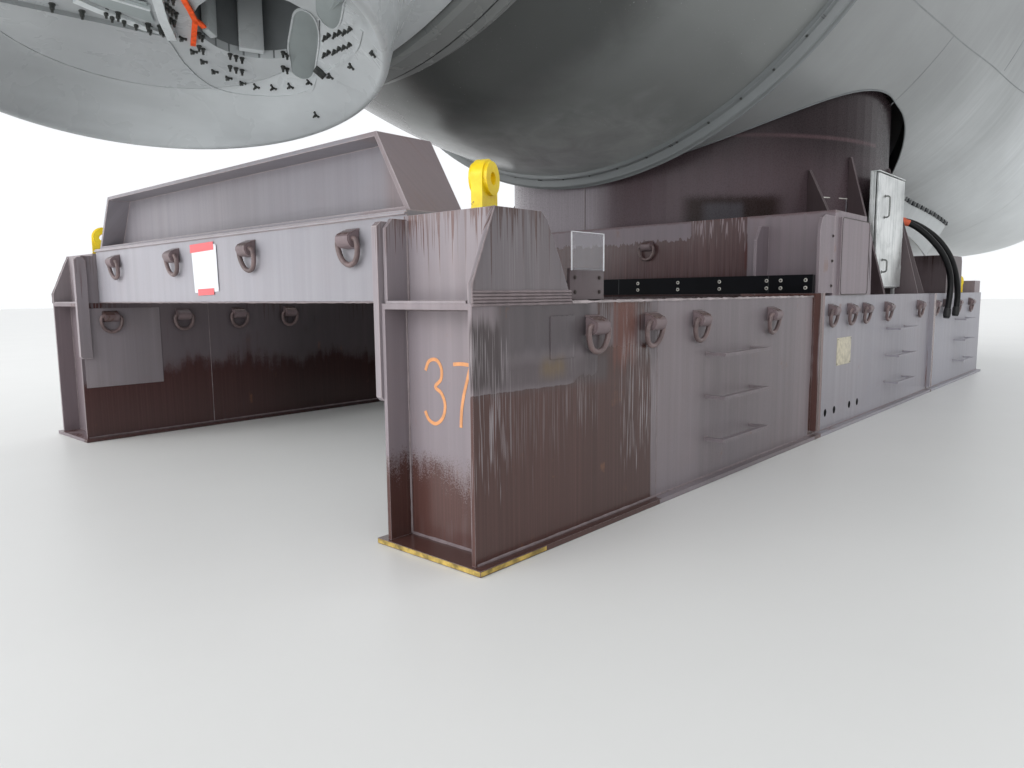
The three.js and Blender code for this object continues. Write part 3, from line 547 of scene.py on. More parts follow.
M_ORANGE_RING = plain("sleeve_orange", srgb(214, 96, 60), 0.5, var=0.1, scale=20.0)
M_PIN = plain("pins_dark", srgb(74, 76, 74), 0.4, 0.5, var=0.25, scale=40.0)
M_PANEL = plain("panel_mid_grey", srgb(146, 154, 154), 0.4, var=0.04, scale=3.0)
M_LINING = plain("lining_grey", srgb(120, 124, 126), 0.5, var=0.08, scale=4.0)
M_FRAME_RAIL = plain("rail_pale", srgb(206, 212, 213), 0.3, 0.2, var=0.06, scale=12.0)
M_STEELBAR = plain("bar_steel", srgb(120, 122, 120), 0.25, 0.9, var=0.1, scale=12.0)
M_RINGS = primer("primer_rings", srgb(124, 108, 110), srgb(86, 66, 62), top_z=9.0, drips=0.0, wet_bias=0.05, rust=1.0)
M_RINGBAR = plain("ring_bar", srgb(112, 95, 94), 0.36, 0.0, var=0.3, scale=14.0, bump=0.001)
M_WELD = plain("weld_painted", srgb(128, 116, 118), 0.4, var=0.14, scale=20.0, bump=0.001)


def clear_sheet():
    k = Mat("clear_sheet")
    a = k.noise(None, 20.0, 3.0)
    k.color(k.mix(a, srgb(196, 200, 208), srgb(226, 230, 236)))
    k.rough(0.12)
    k.const(Alpha=0.10, IOR=1.45)
    return k.mat


M_CLEAR = clear_sheet()


# ------------------------------------------------------------------ mesh helpers
def new_obj(name, verts, faces, mats, body=PARENT, smooth=False, angle=35, mat_index=None):
    me = bpy.data.meshes.new(name)
    me.from_pydata([tuple(v) for v in verts], [], faces)
    me.validate()
    mats = mats if isinstance(mats, (list, tuple)) else [mats]
    for q in mats:
        me.materials.append(q)
    if mat_index is not None:
        for p, i in zip(me.polygons, mat_index):
            p.material_index = i
    bm = bmesh.new()
    bm.from_mesh(me)
    bmesh.ops.recalc_face_normals(bm, faces=bm.faces)
    bm.to_mesh(me)
    bm.free()
    if smooth:
        for p in me.polygons:
            p.use_smooth = True
        me.set_sharp_from_angle(angle=math.radians(angle))
    o = bpy.data.objects.new(name, me)
    scene.collection.objects.link(o)
    if body:
        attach(o, body)
    return o


class Batch:
    """Many small solids gathered in one mesh."""

    def __init__(self, name, mats, body=PARENT, slot=None, smooth=True, angle=35):
        self.name, self.mats, self.body, self.slot = name, mats if isinstance(mats, (list, tuple)) else [mats], body, slot
        self.v, self.f, self.mi = [], [], []
        self.smooth, self.angle = smooth, angle

    def add(self, verts, faces, mi=0, matrix=None):
        b = len(self.v)
        self.v += [tuple(matrix @ Vector(v)) if matrix is not None else tuple(v) for v in verts]
        self.f += [[i + b for i in f] for f in faces]
        self.mi += [mi] * len(faces)

    def box(self, lo, hi, mi=0, bevel=0.0, matrix=None):
        v, f = box_mesh(lo, hi, bevel)
        self.add(v, f, mi, matrix)

    def cyl(self, p, axis, r, h, n=12, mi=0, bevel=0.0):
        v, f = cyl_mesh(r, h, n, bevel)
        self.add(v, f, mi, frame_at(p, axis))

    def hexbolt(self, p, axis, r=0.02, h=0.018, mi=0, washer=True, turn=0.0):
        M = frame_at(p, axis) @ Matrix.Rotation(turn, 4, "Z")
        if washer:
            v, f = cyl_mesh(r * 1.35, 0.005, 14, 0.001)
            self.add(v, f, mi, M)
        v, f = cyl_mesh(r, h, 6, r * 0.12)
        self.add(v, f, mi, M @ Matrix.Translation((0, 0, 0.004)))
        v, f = cyl_mesh(r * 0.55, h + 0.02, 10, 0.002)
        self.add(v, f, mi, M @ Matrix.Translation((0, 0, 0.004)))

    def tube(self, pts, r, n=8, mi=0, closed=False, cap=True):
        v, f = tube_mesh(pts, r, n, closed, cap)
        self.add(v, f, mi)

    def done(self, name=None):
        return new_obj(name or self.name, self.v, self.f, self.mats, self.body, self.smooth, self.angle, self.mi)


def frame_at(p, axis, xdir=None):
    z = Vector(axis).normalized()
    x = Vector(xdir) if xdir is not None else (Vector((1, 0, 0)) if abs(z.x) < 0.9 else Vector((0, 1, 0)))
    x = (x - z * x.dot(z)).normalized()
    y = z.cross(x)
    M = Matrix.Identity(4)
    for i in range(3):
        M[i][0], M[i][1], M[i][2], M[i][3] = x[i], y[i], z[i], p[i]
    return M


def box_mesh(lo, hi, bevel=0.0):
    lo, hi = [min(a, b) for a, b in zip(lo, hi)], [max(a, b) for a, b in zip(lo, hi)]
    bm = bmesh.new()
    bmesh.ops.create_cube(bm, size=1.0)
    for v in bm.verts:
        v.co = Vector([lo[i] + (v.co[i] + 0.5) * (hi[i] - lo[i]) for i in range(3)])
    if bevel:
        b = min(bevel, 0.45 * min(hi[i] - lo[i] for i in range(3)))
        bmesh.ops.bevel(bm, geom=list(bm.edges), offset=b, segments=2, profile=0.6, affect="EDGES", clamp_overlap=True)
    bm.verts.index_update()
    v = [tuple(q.co) for q in bm.verts]
    f = [[q.index for q in p.verts] for p in bm.faces]
    bm.free()
    return v, f


def cyl_mesh(r, h, n=16, bevel=0.0):
    prof = [(r, 0.0), (r, h - bevel), (r - bevel, h)] if bevel else [(r, 0.0), (r, h)]
    v, f = [], []
    for (q, z) in prof:
        v += [(q * math.cos(2 * math.pi * i / n), q * math.sin(2 * math.pi * i / n), z) for i in range(n)]
    for k in range(len(prof) - 1):
        for i in range(n):
            j = (i + 1) % n
            f.append([k * n + i, k * n + j, (k + 1) * n + j, (k + 1) * n + i])
    f.append(list(range(n - 1, -1, -1)))
    f.append([(len(prof) - 1) * n + i for i in range(n)])
    return v, f


def tube_mesh(pts, r, n=8, closed=False, cap=True):
    pts = [Vector(p) for p in pts]
    m_ = len(pts)
    rad = r if hasattr(r, "__len__") else [r] * m_
    v, f = [], []
    ref = None
    for i, p in enumerate(pts):
        a = pts[(i - 1) % m_] if (closed or i > 0) else p
        b = pts[(i + 1) % m_] if (closed or i < m_ - 1) else p
        t = (b - a).normalized()
        if ref is None:
            ref = Vector((0, 0, 1)) if abs(t.z) < 0.9 else Vector((1, 0, 0))
        x = (ref - t * ref.dot(t)).normalized()
        ref = x
        y = t.cross(x)
        for k in range(n):
            w = 2 * math.pi * k / n
            v.append(tuple(p + (x * math.cos(w) + y * math.sin(w)) * rad[i]))
    last = m_ if closed else m_ - 1
    for i in range(last):
        for k in range(n):
            a, b = i * n + k, i * n + (k + 1) % n
            c, d = ((i + 1) % m_) * n + k, ((i + 1) % m_) * n + (k + 1) % n
            f.append([a, b, d, c])
    if not closed and cap:
        f.append(list(range(n - 1, -1, -1)))
        f.append([(m_ - 1) * n + k for k in range(n)])
    return v, f


def prism(outline, depth, x_axis, y_axis, origin):
    """Outline in two directions, thickened along their normal."""
    xa, ya = Vector(x_axis), Vector(y_axis)
    n = xa.cross(ya).normalized()
    o = Vector(origin)
    v = [tuple(o + xa * a + ya * b) for a, b in outline] + [tuple(o + xa * a + ya * b + n * depth) for a, b in outline]
    k = len(outline)
    f = [list(range(k - 1, -1, -1)), list(range(k, 2 * k))]
    f += [[i, (i + 1) % k, k + (i + 1) % k, k + i] for i in range(k)]
    return v, f


def revolve_x(profile, n=192, center_y=0.0, center_z=AXIS_Z):
    """Open profile of (x, radius) turned about the rotor axis; ends at radius 0 are closed."""
    v, f = [], []
    rows = []
    for (x, r) in profile:
        if r < 1e-6:
            v.append((x, center_y, center_z))
            rows.append([len(v) - 1])
        else:
            row = []
            for i in range(n):
                w = 2 * math.pi * i / n
                v.append((x, center_y + r * math.sin(w), center_z - r * math.cos(w)))
                row.append(len(v) - 1)
            rows.append(row)
    for a, b in zip(rows, rows[1:]):
        for i in range(n):
            j = (i + 1) % n
            if len(a) == 1:
                f.append([a[0], b[j], b[i]])
            elif len(b) == 1:
                f.append([a[i], a[j], b[0]])
            else:
                f.append([a[i], a[j], b[j], b[i]])
    return v, f


def smooth_profile(points, step=0.12, corner=0.0):
    """Catmull-Rom curve through the points."""
    out = []
    p = [Vector((a, b)) for a, b in points]
    for i in range(len(p) - 1):
        p0 = p[i - 1] if i > 0 else p[i] * 2 - p[i + 1]
        p1, p2 = p[i], p[i + 1]
        p3 = p[i + 2] if i + 2 < len(p) else p2 * 2 - p1
        cnt = max(1, int((p2 - p1).length / step))
        for k in range(cnt):
            t = k / cnt
            q = 0.5 * ((2 * p1) + (-p0 + p2) * t + (2 * p0 - 5 * p1 + 4 * p2 - p3) * t * t + (-p0 + 3 * p1 - 3 * p2 + p3) * t ** 3)
            out.append((q.x, max(0.0, q.y)))
    out.append(tuple(p[-1]))
    return out


def bevelled_copy(node, mat, width=0.004, body=PARENT, segments=2, edge=None):
    """The node's own shape with its edges eased, as a piece that stands for it."""
    src = NODES[node]
    me = src.data.copy()
    bm = bmesh.new()
    bm.from_mesh(me)
    bmesh.ops.remove_doubles(bm, verts=bm.verts, dist=2e-5)
    bmesh.ops.dissolve_limit(bm, angle_limit=math.radians(0.6), verts=bm.verts, edges=bm.edges)
    bm.to_mesh(me)
    bm.free()
    me.materials.clear()
    me.materials.append(mat)
    if edge:
        me.materials.append(edge)
    if "custom_normal" in me.attributes:
        me.attributes.remove(me.attributes["custom_normal"])
    for p in me.polygons:
        p.use_smooth = False
        p.material_index = 0
    o = bpy.data.objects.new(node + "_looks", me)
    scene.collection.objects.link(o)
    b = o.modifiers.new("bevel", "BEVEL")
    b.width = width
    b.segments = segments
    b.limit_method = "ANGLE"
    b.angle_limit = math.radians(30)
    b.use_clamp_overlap = True
    # the bevel faces take the edge material, a paler primer: painted highlight along the eased edges
    if edge:
        b.material = 1
    b.harden_normals = False
    bpy.context.view_layer.update()
    dg = bpy.context.evaluated_depsgraph_get()
    done = bpy.data.meshes.new_from_object(o.evaluated_get(dg))
    o.modifiers.clear()
    o.data = done
    for p in done.polygons:
        p.use_smooth = True
    done.set_sharp_from_angle(angle=math.radians(28))
    wn = o.modifiers.new("normals", "WEIGHTED_NORMAL")
    wn.mode = "FACE_AREA"
    wn.weight = 50
    wn.keep_sharp = True
    bpy.context.view_layer.update()
    dg = bpy.context.evaluated_depsgraph_get()
    done = bpy.data.meshes.new_from_object(o.evaluated_get(dg))
    o.modifiers.clear()
    o.data = done
    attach(o, body)
    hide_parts(node)
    return o


# ------------------------------------------------------------------ two supply cables
CABLE_ROUTES = [
    [(2.5791, -2.3042, 2.300), (2.632, -2.415, 2.300), (2.690, -2.532, 2.278), (2.760, -2.655, 2.212), (2.870, -2.765, 2.108), (3.000, -2.852, 1.988), (3.125, -2.922, 1.858),
     (3.232, -2.972, 1.712), (3.305, -2.998, 1.562), (3.332, -3.007, 1.412), (3.310, -3.008, 1.262), (3.262, -3.005, 1.115), (3.225, -3.002, 0.970)],
    [(2.6986, -2.2439, 2.300), (2.757, -2.354, 2.312), (2.826, -2.470, 2.306), (2.912, -2.600, 2.262), (3.022, -2.725, 2.178), (3.150, -2.835, 2.066), (3.285, -2.920, 1.930),
     (3.415, -2.980, 1.776), (3.528, -3.014, 1.608), (3.614, -3.030, 1.440), (3.664, -3.034, 1.282), (3.676, -3.028, 1.130), (3.662, -3.020, 0.985)],
]


def curve_through(pts, step=0.03):
    """Centripetal Catmull-Rom curve through points in space."""
    p = [Vector(q) for q in pts]
    p = [p[0] * 2 - p[1]] + p + [p[-1] * 2 - p[-2]]
    out = []
    for i in range(1, len(p) - 2):
        p0, p1, p2, p3 = p[i - 1], p[i], p[i + 1], p[i + 2]
        t0 = 0.0
        t1 = t0 + (p1 - p0).length ** 0.5
        t2 = t1 + (p2 - p1).length ** 0.5
        t3 = t2 + (p3 - p2).length ** 0.5
        n = max(1, int(round((p2 - p1).length / step)))
        for k in range(n):
            t = t1 + (t2 - t1) * k / n
            a1 = p0 * ((t1 - t) / (t1 - t0)) + p1 * ((t - t0) / (t1 - t0))
            a2 = p1 * ((t2 - t) / (t2 - t1)) + p2 * ((t - t1) / (t2 - t1))
            a3 = p2 * ((t3 - t) / (t3 - t2)) + p3 * ((t - t2) / (t3 - t2))
            b1 = a1 * ((t2 - t) / (t2 - t0)) + a2 * ((t - t0) / (t2 - t0))
            b2 = a2 * ((t3 - t) / (t3 - t1)) + a3 * ((t - t1) / (t3 - t1))
            out.append(b1 * ((t2 - t) / (t2 - t1)) + b2 * ((t - t1) / (t2 - t1)))
    out.append(p[-2])
    return out


for i, pts in enumerate(CABLE_ROUTES):
    line = curve_through(pts)
    total = sum((b - a).length for a, b in zip(line, line[1:]))
    v, f = tube_mesh(line, 0.0395, 18)
    cable = new_obj(f"supply_cable_{i + 1}_run", v, f, M_CABLE, smooth=True, angle=60)
    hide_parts(f"supply_cable_{i + 1}")
    cap = Batch(f"supply_cable_{i + 1}_cap", [M_RUBBER, M_ORANGE_RING], slot="guard_rubber")
    end, before = line[-1], line[-5]
    d_ = (end - before).normalized()
    M = frame_at(end - d_ * 0.13, d_)
    prof = [(0.0405, 0.0), (0.046, 0.004), (0.047, 0.055), (0.046, 0.105), (0.040, 0.118), (0.026, 0.127), (0.0, 0.1295)]
    cv, cf = [], []
    for r_, z_ in prof[:-1]:
        cv += [(r_ * math.cos(2 * math.pi * q / 20), r_ * math.sin(2 * math.pi * q / 20), z_) for q in range(20)]
    cv.append((0, 0, prof[-1][1]))
    for a_ in range(len(prof) - 2):
        for q in range(20):
            w_ = (q + 1) % 20
            cf.append([a_ * 20 + q, a_ * 20 + w_, (a_ + 1) * 20 + w_, (a_ + 1) * 20 + q])
    top = (len(prof) - 2) * 20
    cf += [[top + q, top + (q + 1) % 20, len(cv) - 1] for q in range(20)]
    cap.add(cv, cf, 0, M)
    cap = cap.done()
    sleeve = Batch(f"supply_cable_{i + 1}_sleeve", [M_ORANGE_RING, M_RUBBER])
    d0 = (line[2] - line[0]).normalized()
    sv, sf = [], []
    for r_, z_ in [(0.041, 0.0), (0.062, 0.0), (0.060, 0.05), (0.050, 0.20), (0.044, 0.31), (0.041, 0.315)]:
        c_ = line[0] + d0 * 0.0
        k_ = min(len(line) - 2, int(z_ / 0.03))
        c_ = line[k_] + (line[k_ + 1] - line[k_]) * (z_ / 0.03 - k_)
        t_ = (line[k_ + 1] - line[k_]).normalized()
        Mz = frame_at(c_, t_, (0, 0, 1))
        sv += [tuple(Mz @ Vector((r_ * math.cos(2 * math.pi * q / 20), r_ * math.sin(2 * math.pi * q / 20), 0))) for q in range(20)]
    for a_ in range(5):
        for q in range(20):
            w_ = (q + 1) % 20
            sf.append([a_ * 20 + q, a_ * 20 + w_, (a_ + 1) * 20 + w_, (a_ + 1) * 20 + q])
    sleeve.add(sv, sf)
    sleeve = sleeve.done()

# ------------------------------------------------------------------ the frame's own pieces
LOOKS = {
    "girder_front_right": M_GIRDER_RF, "girder_middle_right": M_GIRDER_RM, "girder_rear_right": M_GIRDER_RR,
    "girder_front_left": M_GIRDER_L, "girder_middle_left": M_GIRDER_L, "girder_rear_left": M_GIRDER_L,
    "corner_post_right": M_POST, "corner_post_left": M_POST, "cross_end_plate_right": M_POST, "cross_end_plate_left": M_POST,
    "cross_girder_front": M_CROSS, "cross_girder_hump": M_HUMP, "centre_box": M_DARK, "adapter_seat_front": M_SEAT,
    "adapter_seat_rear": M_DARK, "cross_beam_rear": M_GIRDER,
}
for w in ("right", "left"):
    for i in range(1, 5):
        LOOKS[f"adapter_gusset_{w}_{i}"] = M_GUSSET
PIECES = {}
for n, mt in LOOKS.items():
    # eased edges in the paler primers, painted highlight
    PIECES[n] = bevelled_copy(n, mt, edge=M_EDGE_HIGHLIGHT_DARK if mt in (M_GUSSET, M_DARK, M_GIRDER_L) else M_EDGE_HIGHLIGHT)
for w in ("right", "left"):
    for e in ("front", "rear"):
        bevelled_copy(f"lifting_lug_{e}_{w}", M_YELLOW, 0.006, segments=3)
bevelled_copy("cabinet_body", M_STAINLESS, 0.004)
bevelled_copy("cabinet_door", M_STAINLESS, 0.004, body=DOOR)
bevelled_copy("guard_strip", M_BLACK, 0.003)
for n, mt in (("yaw_ring", M_GREASE), ("tower_adapter", M_ADAPTER)):
    o = NODES[n]
    o.data.materials.clear()
    o.data.materials.append(mt)


def boolean(target, tool, op="DIFFERENCE", keep_colour=False):
    md = target.modifiers.new("b", "BOOLEAN")
    md.operation = op
    md.solver = "EXACT"
    md.object = tool
    if keep_colour:
        md.material_mode = "TRANSFER"
    bpy.context.view_layer.update()
    dg = bpy.context.evaluated_depsgraph_get()
    me = bpy.data.meshes.new_from_object(target.evaluated_get(dg))
    target.modifiers.clear()
    target.data = me
    bpy.data.objects.remove(tool)


# drain holes low in the middle girders' webs; their walls are near black, painted shade inside the holes
for w, sgn in (("right", -1), ("left", 1)):
    hv, hf = [], []
    for x in (-1.19, -0.94, -0.49, -0.24):
        v, f = cyl_mesh(0.037, 0.16, 24)
        M = frame_at((x, sgn * 2.80, 0.19), (0, sgn, 0))
        b = len(hv)
        hv += [tuple(M @ Vector(q)) for q in v]
        hf += [[i + b for i in q] for q in f]
    boolean(PIECES[f"girder_middle_{w}"], new_obj("drill", hv, hf, M_HOLE_SHADE, body=None), keep_colour=True)

# ------------------------------------------------------------------ nacelle skins
HOUS = [(-4.52, 3.56), (-4.50, 3.60), (-4.45, 3.62), (-4.27, 3.612), (-4.23, 3.59), (-4.215, 3.53), (-4.20, 3.52), (-4.05, 3.53), (-4.01, 3.51),
        (-3.995, 3.455), (-3.97, 3.445), (-3.90, 3.44)]
v, f = revolve_x([(-4.52, 0.0)] + HOUS + [(-3.90, 0.0)], 192)
ring_skin = new_obj("front_ring_skin", v, f, M_RING, smooth=True, angle=24)
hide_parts("front_ring")
BODY = smooth_profile([(-3.899, 3.405), (-3.70, 3.47), (-3.30, 3.61), (-2.80, 3.75), (-2.20, 3.88), (-1.60, 3.965), (-1.31, 4.0)], 0.06)
v, f = revolve_x([(-3.899, 0.0)] + BODY + [(-1.31, 0.0)], 256)
housing = new_obj("generator_housing_skin", v, f, M_HOUSING, smooth=True, angle=40)
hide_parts("generator_housing")
RIM = [(-1.309, 3.98), (-1.309, 4.035), (-1.300, 4.042), (-1.250, 4.050), (-1.243, 4.064), (-1.240, 4.100), (-1.232, 4.126), (-1.218, 4.136), (-1.205, 4.126), (-1.197, 4.108), (-1.190, 4.104),
       (-1.184, 4.112), (-1.177, 4.138), (-1.168, 4.149), (-1.158, 4.149), (-1.150, 4.138), (-1.146, 4.10), (-1.145, 4.036), (-1.141, 4.03)]
v, f = revolve_x([(-1.309, 0.0)] + RIM + [(-1.141, 0.0)], 256)
rim_skin = new_obj("rim_flange_skin", v, f, M_RIM, smooth=True, angle=30)
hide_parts("rim_flange")

SECTIONS = [
    (-1.140, 4.030, 10.780, 2.720, 2.0), (1.5, 4.070, 10.810, 2.690, 2.0), (3.2, 4.100, 10.820, 2.500, 2.15), (4.6, 4.130, 10.810, 2.250, 2.6),
    (6.0, 4.150, 10.780, 2.030, 3.3), (7.6, 4.160, 10.740, 1.965, 4.2), (8.9, 4.120, 10.660, 1.975, 4.4), (9.7, 3.900, 10.450, 2.150, 4.0),
    (10.25, 3.380, 9.980, 2.620, 3.4), (10.5, 2.550, 9.250, 3.450, 2.8), (10.6, 1.350, 8.150, 4.850, 2.3),
]


def section_at(x):
    s = SECTIONS
    i = max(0, min(len(s) - 2, next((k - 1 for k in range(1, len(s)) if s[k][0] >= x), len(s) - 2)))
    a, b = s[i], s[i + 1]
    h = b[0] - a[0]
    t = min(1.0, max(0.0, (x - a[0]) / h))
    out = []
    for j in range(1, 5):
        def slope(k):
            if k <= 0:
                return (s[1][j] - s[0][j]) / (s[1][0] - s[0][0])
            if k >= len(s) - 1:
                return (s[-1][j] - s[-2][j]) / (s[-1][0] - s[-2][0])
            return (s[k + 1][j] - s[k - 1][j]) / (s[k + 1][0] - s[k - 1][0])
        ma, mb = slope(i), slope(i + 1)
        out.append((2 * t ** 3 - 3 * t * t + 1) * a[j] + (t ** 3 - 2 * t * t + t) * h * ma + (-2 * t ** 3 + 3 * t * t) * b[j] + (t ** 3 - t * t) * h * mb)
    lim = [max(a[1], b[1]), max(a[2], b[2]), min(a[3], b[3])]
    out[0], out[1], out[2] = min(out[0], lim[0]), min(out[1], lim[1]), max(out[2], lim[2])
    return (x, *out)


def canopy_point(x, w, grow=0.0):
    """Point of the canopy's surface at x, w round from the left side."""
    _, a, top, bottom, e = section_at(x)
    zc, b = (top + bottom) / 2, (top - bottom) / 2
    a, b = a + grow, b + grow
    c, s_ = math.cos(w), math.sin(w)
    return Vector((x, a * math.copysign(abs(c) ** (2 / e), c), zc + b * math.copysign(abs(s_) ** (2 / e), s_)))


def canopy_loft(xs, n=176):
    v, f = [], []
    for x in xs:
        v += [tuple(canopy_point(x, 2 * math.pi * i / n)) for i in range(n)]
    for r in range(len(xs) - 1):
        for i in range(n):
            j = (i + 1) % n
            f.append([r * n + i, r * n + j, (r + 1) * n + j, (r + 1) * n + i])
    f.append([i for i in range(n)])
    q = (len(xs) - 1) * n
    f.append([q + i for i in range(n - 1, -1, -1)])
    return v, f


def belly(x, y):
    """Height of the canopy's underside over a point of the floor."""
    _, a, top, bottom, e = section_at(x)
    zc, b = (top + bottom) / 2, (top - bottom) / 2
    t = min(0.9999, abs(y) / a)
    return zc - b * (1 - t ** e) ** (1 / e)


xs = [-1.140 + i * (6.0 + 1.14) / 44 for i in range(45)]
v, f = canopy_loft(xs)
canopy = new_obj("canopy_skin", v, f, M_SHELL, body=None, smooth=False)
for (cx, r) in ((1.48, 2.64), (1.86, 2.62)):
    cv, cf = cyl_mesh(r, 3.4, 128)
    boolean(canopy, new_obj("cut", [(x + cx, y, z + 0.9) for x, y, z in cv], cf, M_SHELL, body=None))
for p in canopy.data.polygons:
    p.use_smooth = True
canopy.data.set_sharp_from_angle(angle=math.radians(35))
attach(canopy, PARENT)
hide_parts("canopy_main")
xs = [6.006 + (9.7 - 6.006) * i / 22 for i in range(23)] + [9.7 + 0.9 * (1 - (1 - i / 16) ** 2) for i in range(1, 17)]
v, f = canopy_loft(xs)
o = new_obj("canopy_tail_skin", v, f, M_SHELL, smooth=True, angle=50)
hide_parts("canopy_tail")

# rubber edge round the cut-out for the tower adapter
loop = []
for k_ in range(180):
    w = 2 * math.pi * k_ / 180
    cxx, rr = (1.86, 2.62) if math.cos(w) > 0 else (1.48, 2.64)
    x, y = cxx + rr * math.cos(w), rr * math.sin(w)
    if math.cos(w) > 0:
        # the outer of the two circles on each side
        d_ = Vector((math.cos(w), math.sin(w)))
    loop.append(Vector((x, y, belly(x, y) - 0.004)))
edge = Batch("canopy_cutout_edge", [M_LINING, M_RUBBER], slot="shell_grey")
edge.tube(loop, 0.010, 10, closed=True)
# near-black rubber skirt inside the cut-out, also painted shade in the gap round the adapter
lip = []
inner = [Vector((q.x, q.y, q.z)) for q in loop]
b0 = len(edge.v)
for q in inner:
    edge.v += [(q.x, q.y, q.z), (q.x - (q.x - 1.67) * 0.004, q.y - q.y * 0.004, q.z + 0.30)]
for k_ in range(180):
    a_, b_ = b0 + 2 * k_, b0 + 2 * ((k_ + 1) % 180)
    edge.f.append([a_, b_, b_ + 1, a_ + 1])
    edge.mi.append(1)
edge.done()


def ribbon(batch, pts, normals, width, thick=0.004, mi=0, closed=False):
    """A flat strip lying on a surface."""
    n = len(pts)
    b = len(batch.v)
    for i in range(n):
        p = Vector(pts[i])
        nn = Vector(normals[i]).normalized()
        q0 = Vector(pts[(i - 1) % n]) if (i > 0 or closed) else p
        q1 = Vector(pts[(i + 1) % n]) if (i < n - 1 or closed) else p
        t = (q1 - q0).normalized()
        s_ = t.cross(nn).normalized() * (width / 2)
        batch.v += [tuple(p - s_ - nn * 0.004), tuple(p - s_ + nn * thick), tuple(p + s_ + nn * thick), tuple(p + s_ - nn * 0.004)]
    last = n if closed else n - 1
    for i in range(last):
        a, c = b + 4 * i, b + 4 * ((i + 1) % n)
        for k in range(3):
            batch.f.append([a + k, a + k + 1, c + k + 1, c + k])
            batch.mi.append(mi)
    if not closed:
        for a in (b, b + 4 * (n - 1)):
            batch.f.append([a, a + 1, a + 2, a + 3])
            batch.mi.append(mi)


# joints between the canopy's panels: dark sealant lines round and along it
seams = Batch("canopy_seams", M_SEAL, smooth=False)


def canopy_normal(x, w):
    p = canopy_point(x, w)
    a = canopy_point(x, w + 0.01) - p
    b = canopy_point(min(10.59, x + 0.02), w) - p
    n = b.cross(a)
    c = Vector((x, 0, AXIS_Z))
    return n.normalized() if n.dot(p - c) > 0 else -n.normalized()


def turn_at(x, z, sgn):
    """Where the canopy's side stands at height z."""
    _, a, top, bottom, e = section_at(x)
    zc, b = (top + bottom) / 2, (top - bottom) / 2
    t = max(-1.0, min(1.0, (z - zc) / b))
    s_ = math.copysign(abs(t) ** (e / 2), t)
    c_ = max(0.0, 1 - s_ * s_) ** 0.5 * sgn
    return math.atan2(s_, c_)


def along(heights, sgn, n=110):
    """Joint along the canopy's side through given (x, z) points."""
    line = smooth_profile(heights, 0.1)
    pts = [(x, turn_at(x, z, sgn)) for x, z in line]
    ribbon(seams, [canopy_point(*q) for q in pts], [canopy_normal(*q) for q in pts], 0.013, 0.0015)


def around(x, z0, z1, sgn, n=60):
    pts = [(x, turn_at(x, z0 + (z1 - z0) * i / n, sgn)) for i in range(n + 1)]
    ribbon(seams, [canopy_point(*q) for q in pts], [canopy_normal(*q) for q in pts], 0.013, 0.0015)


for sgn in (1, -1):
    along([(-1.13, 4.25), (0.2, 4.26), (0.9, 4.27), (1.6, 4.265), (3.0, 4.20), (4.2, 4.03), (5.6, 3.92), (7.5, 3.88), (9.6, 4.0)], sgn)
    along([(-1.13, 8.6), (2.0, 8.62), (5.6, 8.70), (9.6, 8.5)], sgn)
    around(1.66, 3.60, 4.26, sgn)
    around(3.4, 4.19, 8.64, sgn)
    around(7.4, 3.89, 8.66, sgn)
seams.done()

# ------------------------------------------------------------------ generator housing and rim details
rimb = Batch("rim_bolts", [M_PIN, M_SEAM, M_RIM, M_SEAL])
for k_ in range(66):
    w = 2 * math.pi * (k_ + 0.5) / 66
    d_ = Vector((0, math.sin(w), -math.cos(w)))
    p = Vector((-1.272, 0, AXIS_Z)) + d_ * 4.0445
    M = frame_at(p, d_ + Vector((-0.12, 0, 0)))
    v, f = cyl_mesh(0.015, 0.004, 14, 0.001)
    rimb.add(v, f, 0, M)
    v, f = cyl_mesh(0.010, 0.014, 6, 0.002)
    rimb.add(v, f, 0, M)
for k_ in range(14):
    w = 2 * math.pi * (k_ + 0.3) / 14
    d_ = Vector((0, math.sin(w), -math.cos(w)))
    t_ = Vector((0, math.cos(w), math.sin(w)))
    for off in (-0.011, 0.011):
        p0 = Vector((-1.300, 0, AXIS_Z)) + d_ * 4.047 + t_ * off
        ribbon(rimb, [p0, p0 + Vector((0.070, 0, 0)) + d_ * 0.009], [d_, d_], 0.004, 0.003, 1)
    p0 = Vector((-1.213, 0, AXIS_Z)) + d_ * 4.144
    rimb.box((-0.020, -0.02, -0.05), (0.0, 0.02, -0.012), 2, 0.003, frame_at(p0, d_, (1, 0, 0)))
ring_ = [Vector((-1.306, 4.0425 * math.sin(2 * math.pi * q / 240), AXIS_Z - 4.0425 * math.cos(2 * math.pi * q / 240))) for q in range(240)]
rimb.tube(ring_, 0.0055, 6, 3, closed=True)
rimb.done()
# fine joint lines round the housing, a little before the rim
hl = Batch("housing_lines", M_SEAM, smooth=False)
for (x, r) in ((-4.235, 3.596),):
    pts, nn = [], []
    for k_ in range(200):
        w = 2 * math.pi * k_ / 200
        d_ = Vector((0, math.sin(w), -math.cos(w)))
        pts.append(Vector((x, 0, AXIS_Z)) + d_ * r)
        nn.append(d_)
    ribbon(hl, pts, nn, 0.010, 0.0012, closed=True)
hl.done()

# ------------------------------------------------------------------ hub
TURN = -10.0
HUB_X = -6.0
CONE = 5.7
PLATE_AT = (0.56, 0.23)


def blade_frame(deg):
    """Matrix from a blade's own axes to the row frame: +Z outwards along the blade, +X along the rotor axis."""
    a, t = math.radians(deg), math.radians(CONE)
    zdir = Vector((-math.sin(t), math.sin(a) * math.cos(t), -math.cos(a) * math.cos(t)))
    return frame_at((HUB_X, 0, AXIS_Z), zdir, (1, 0, 0))


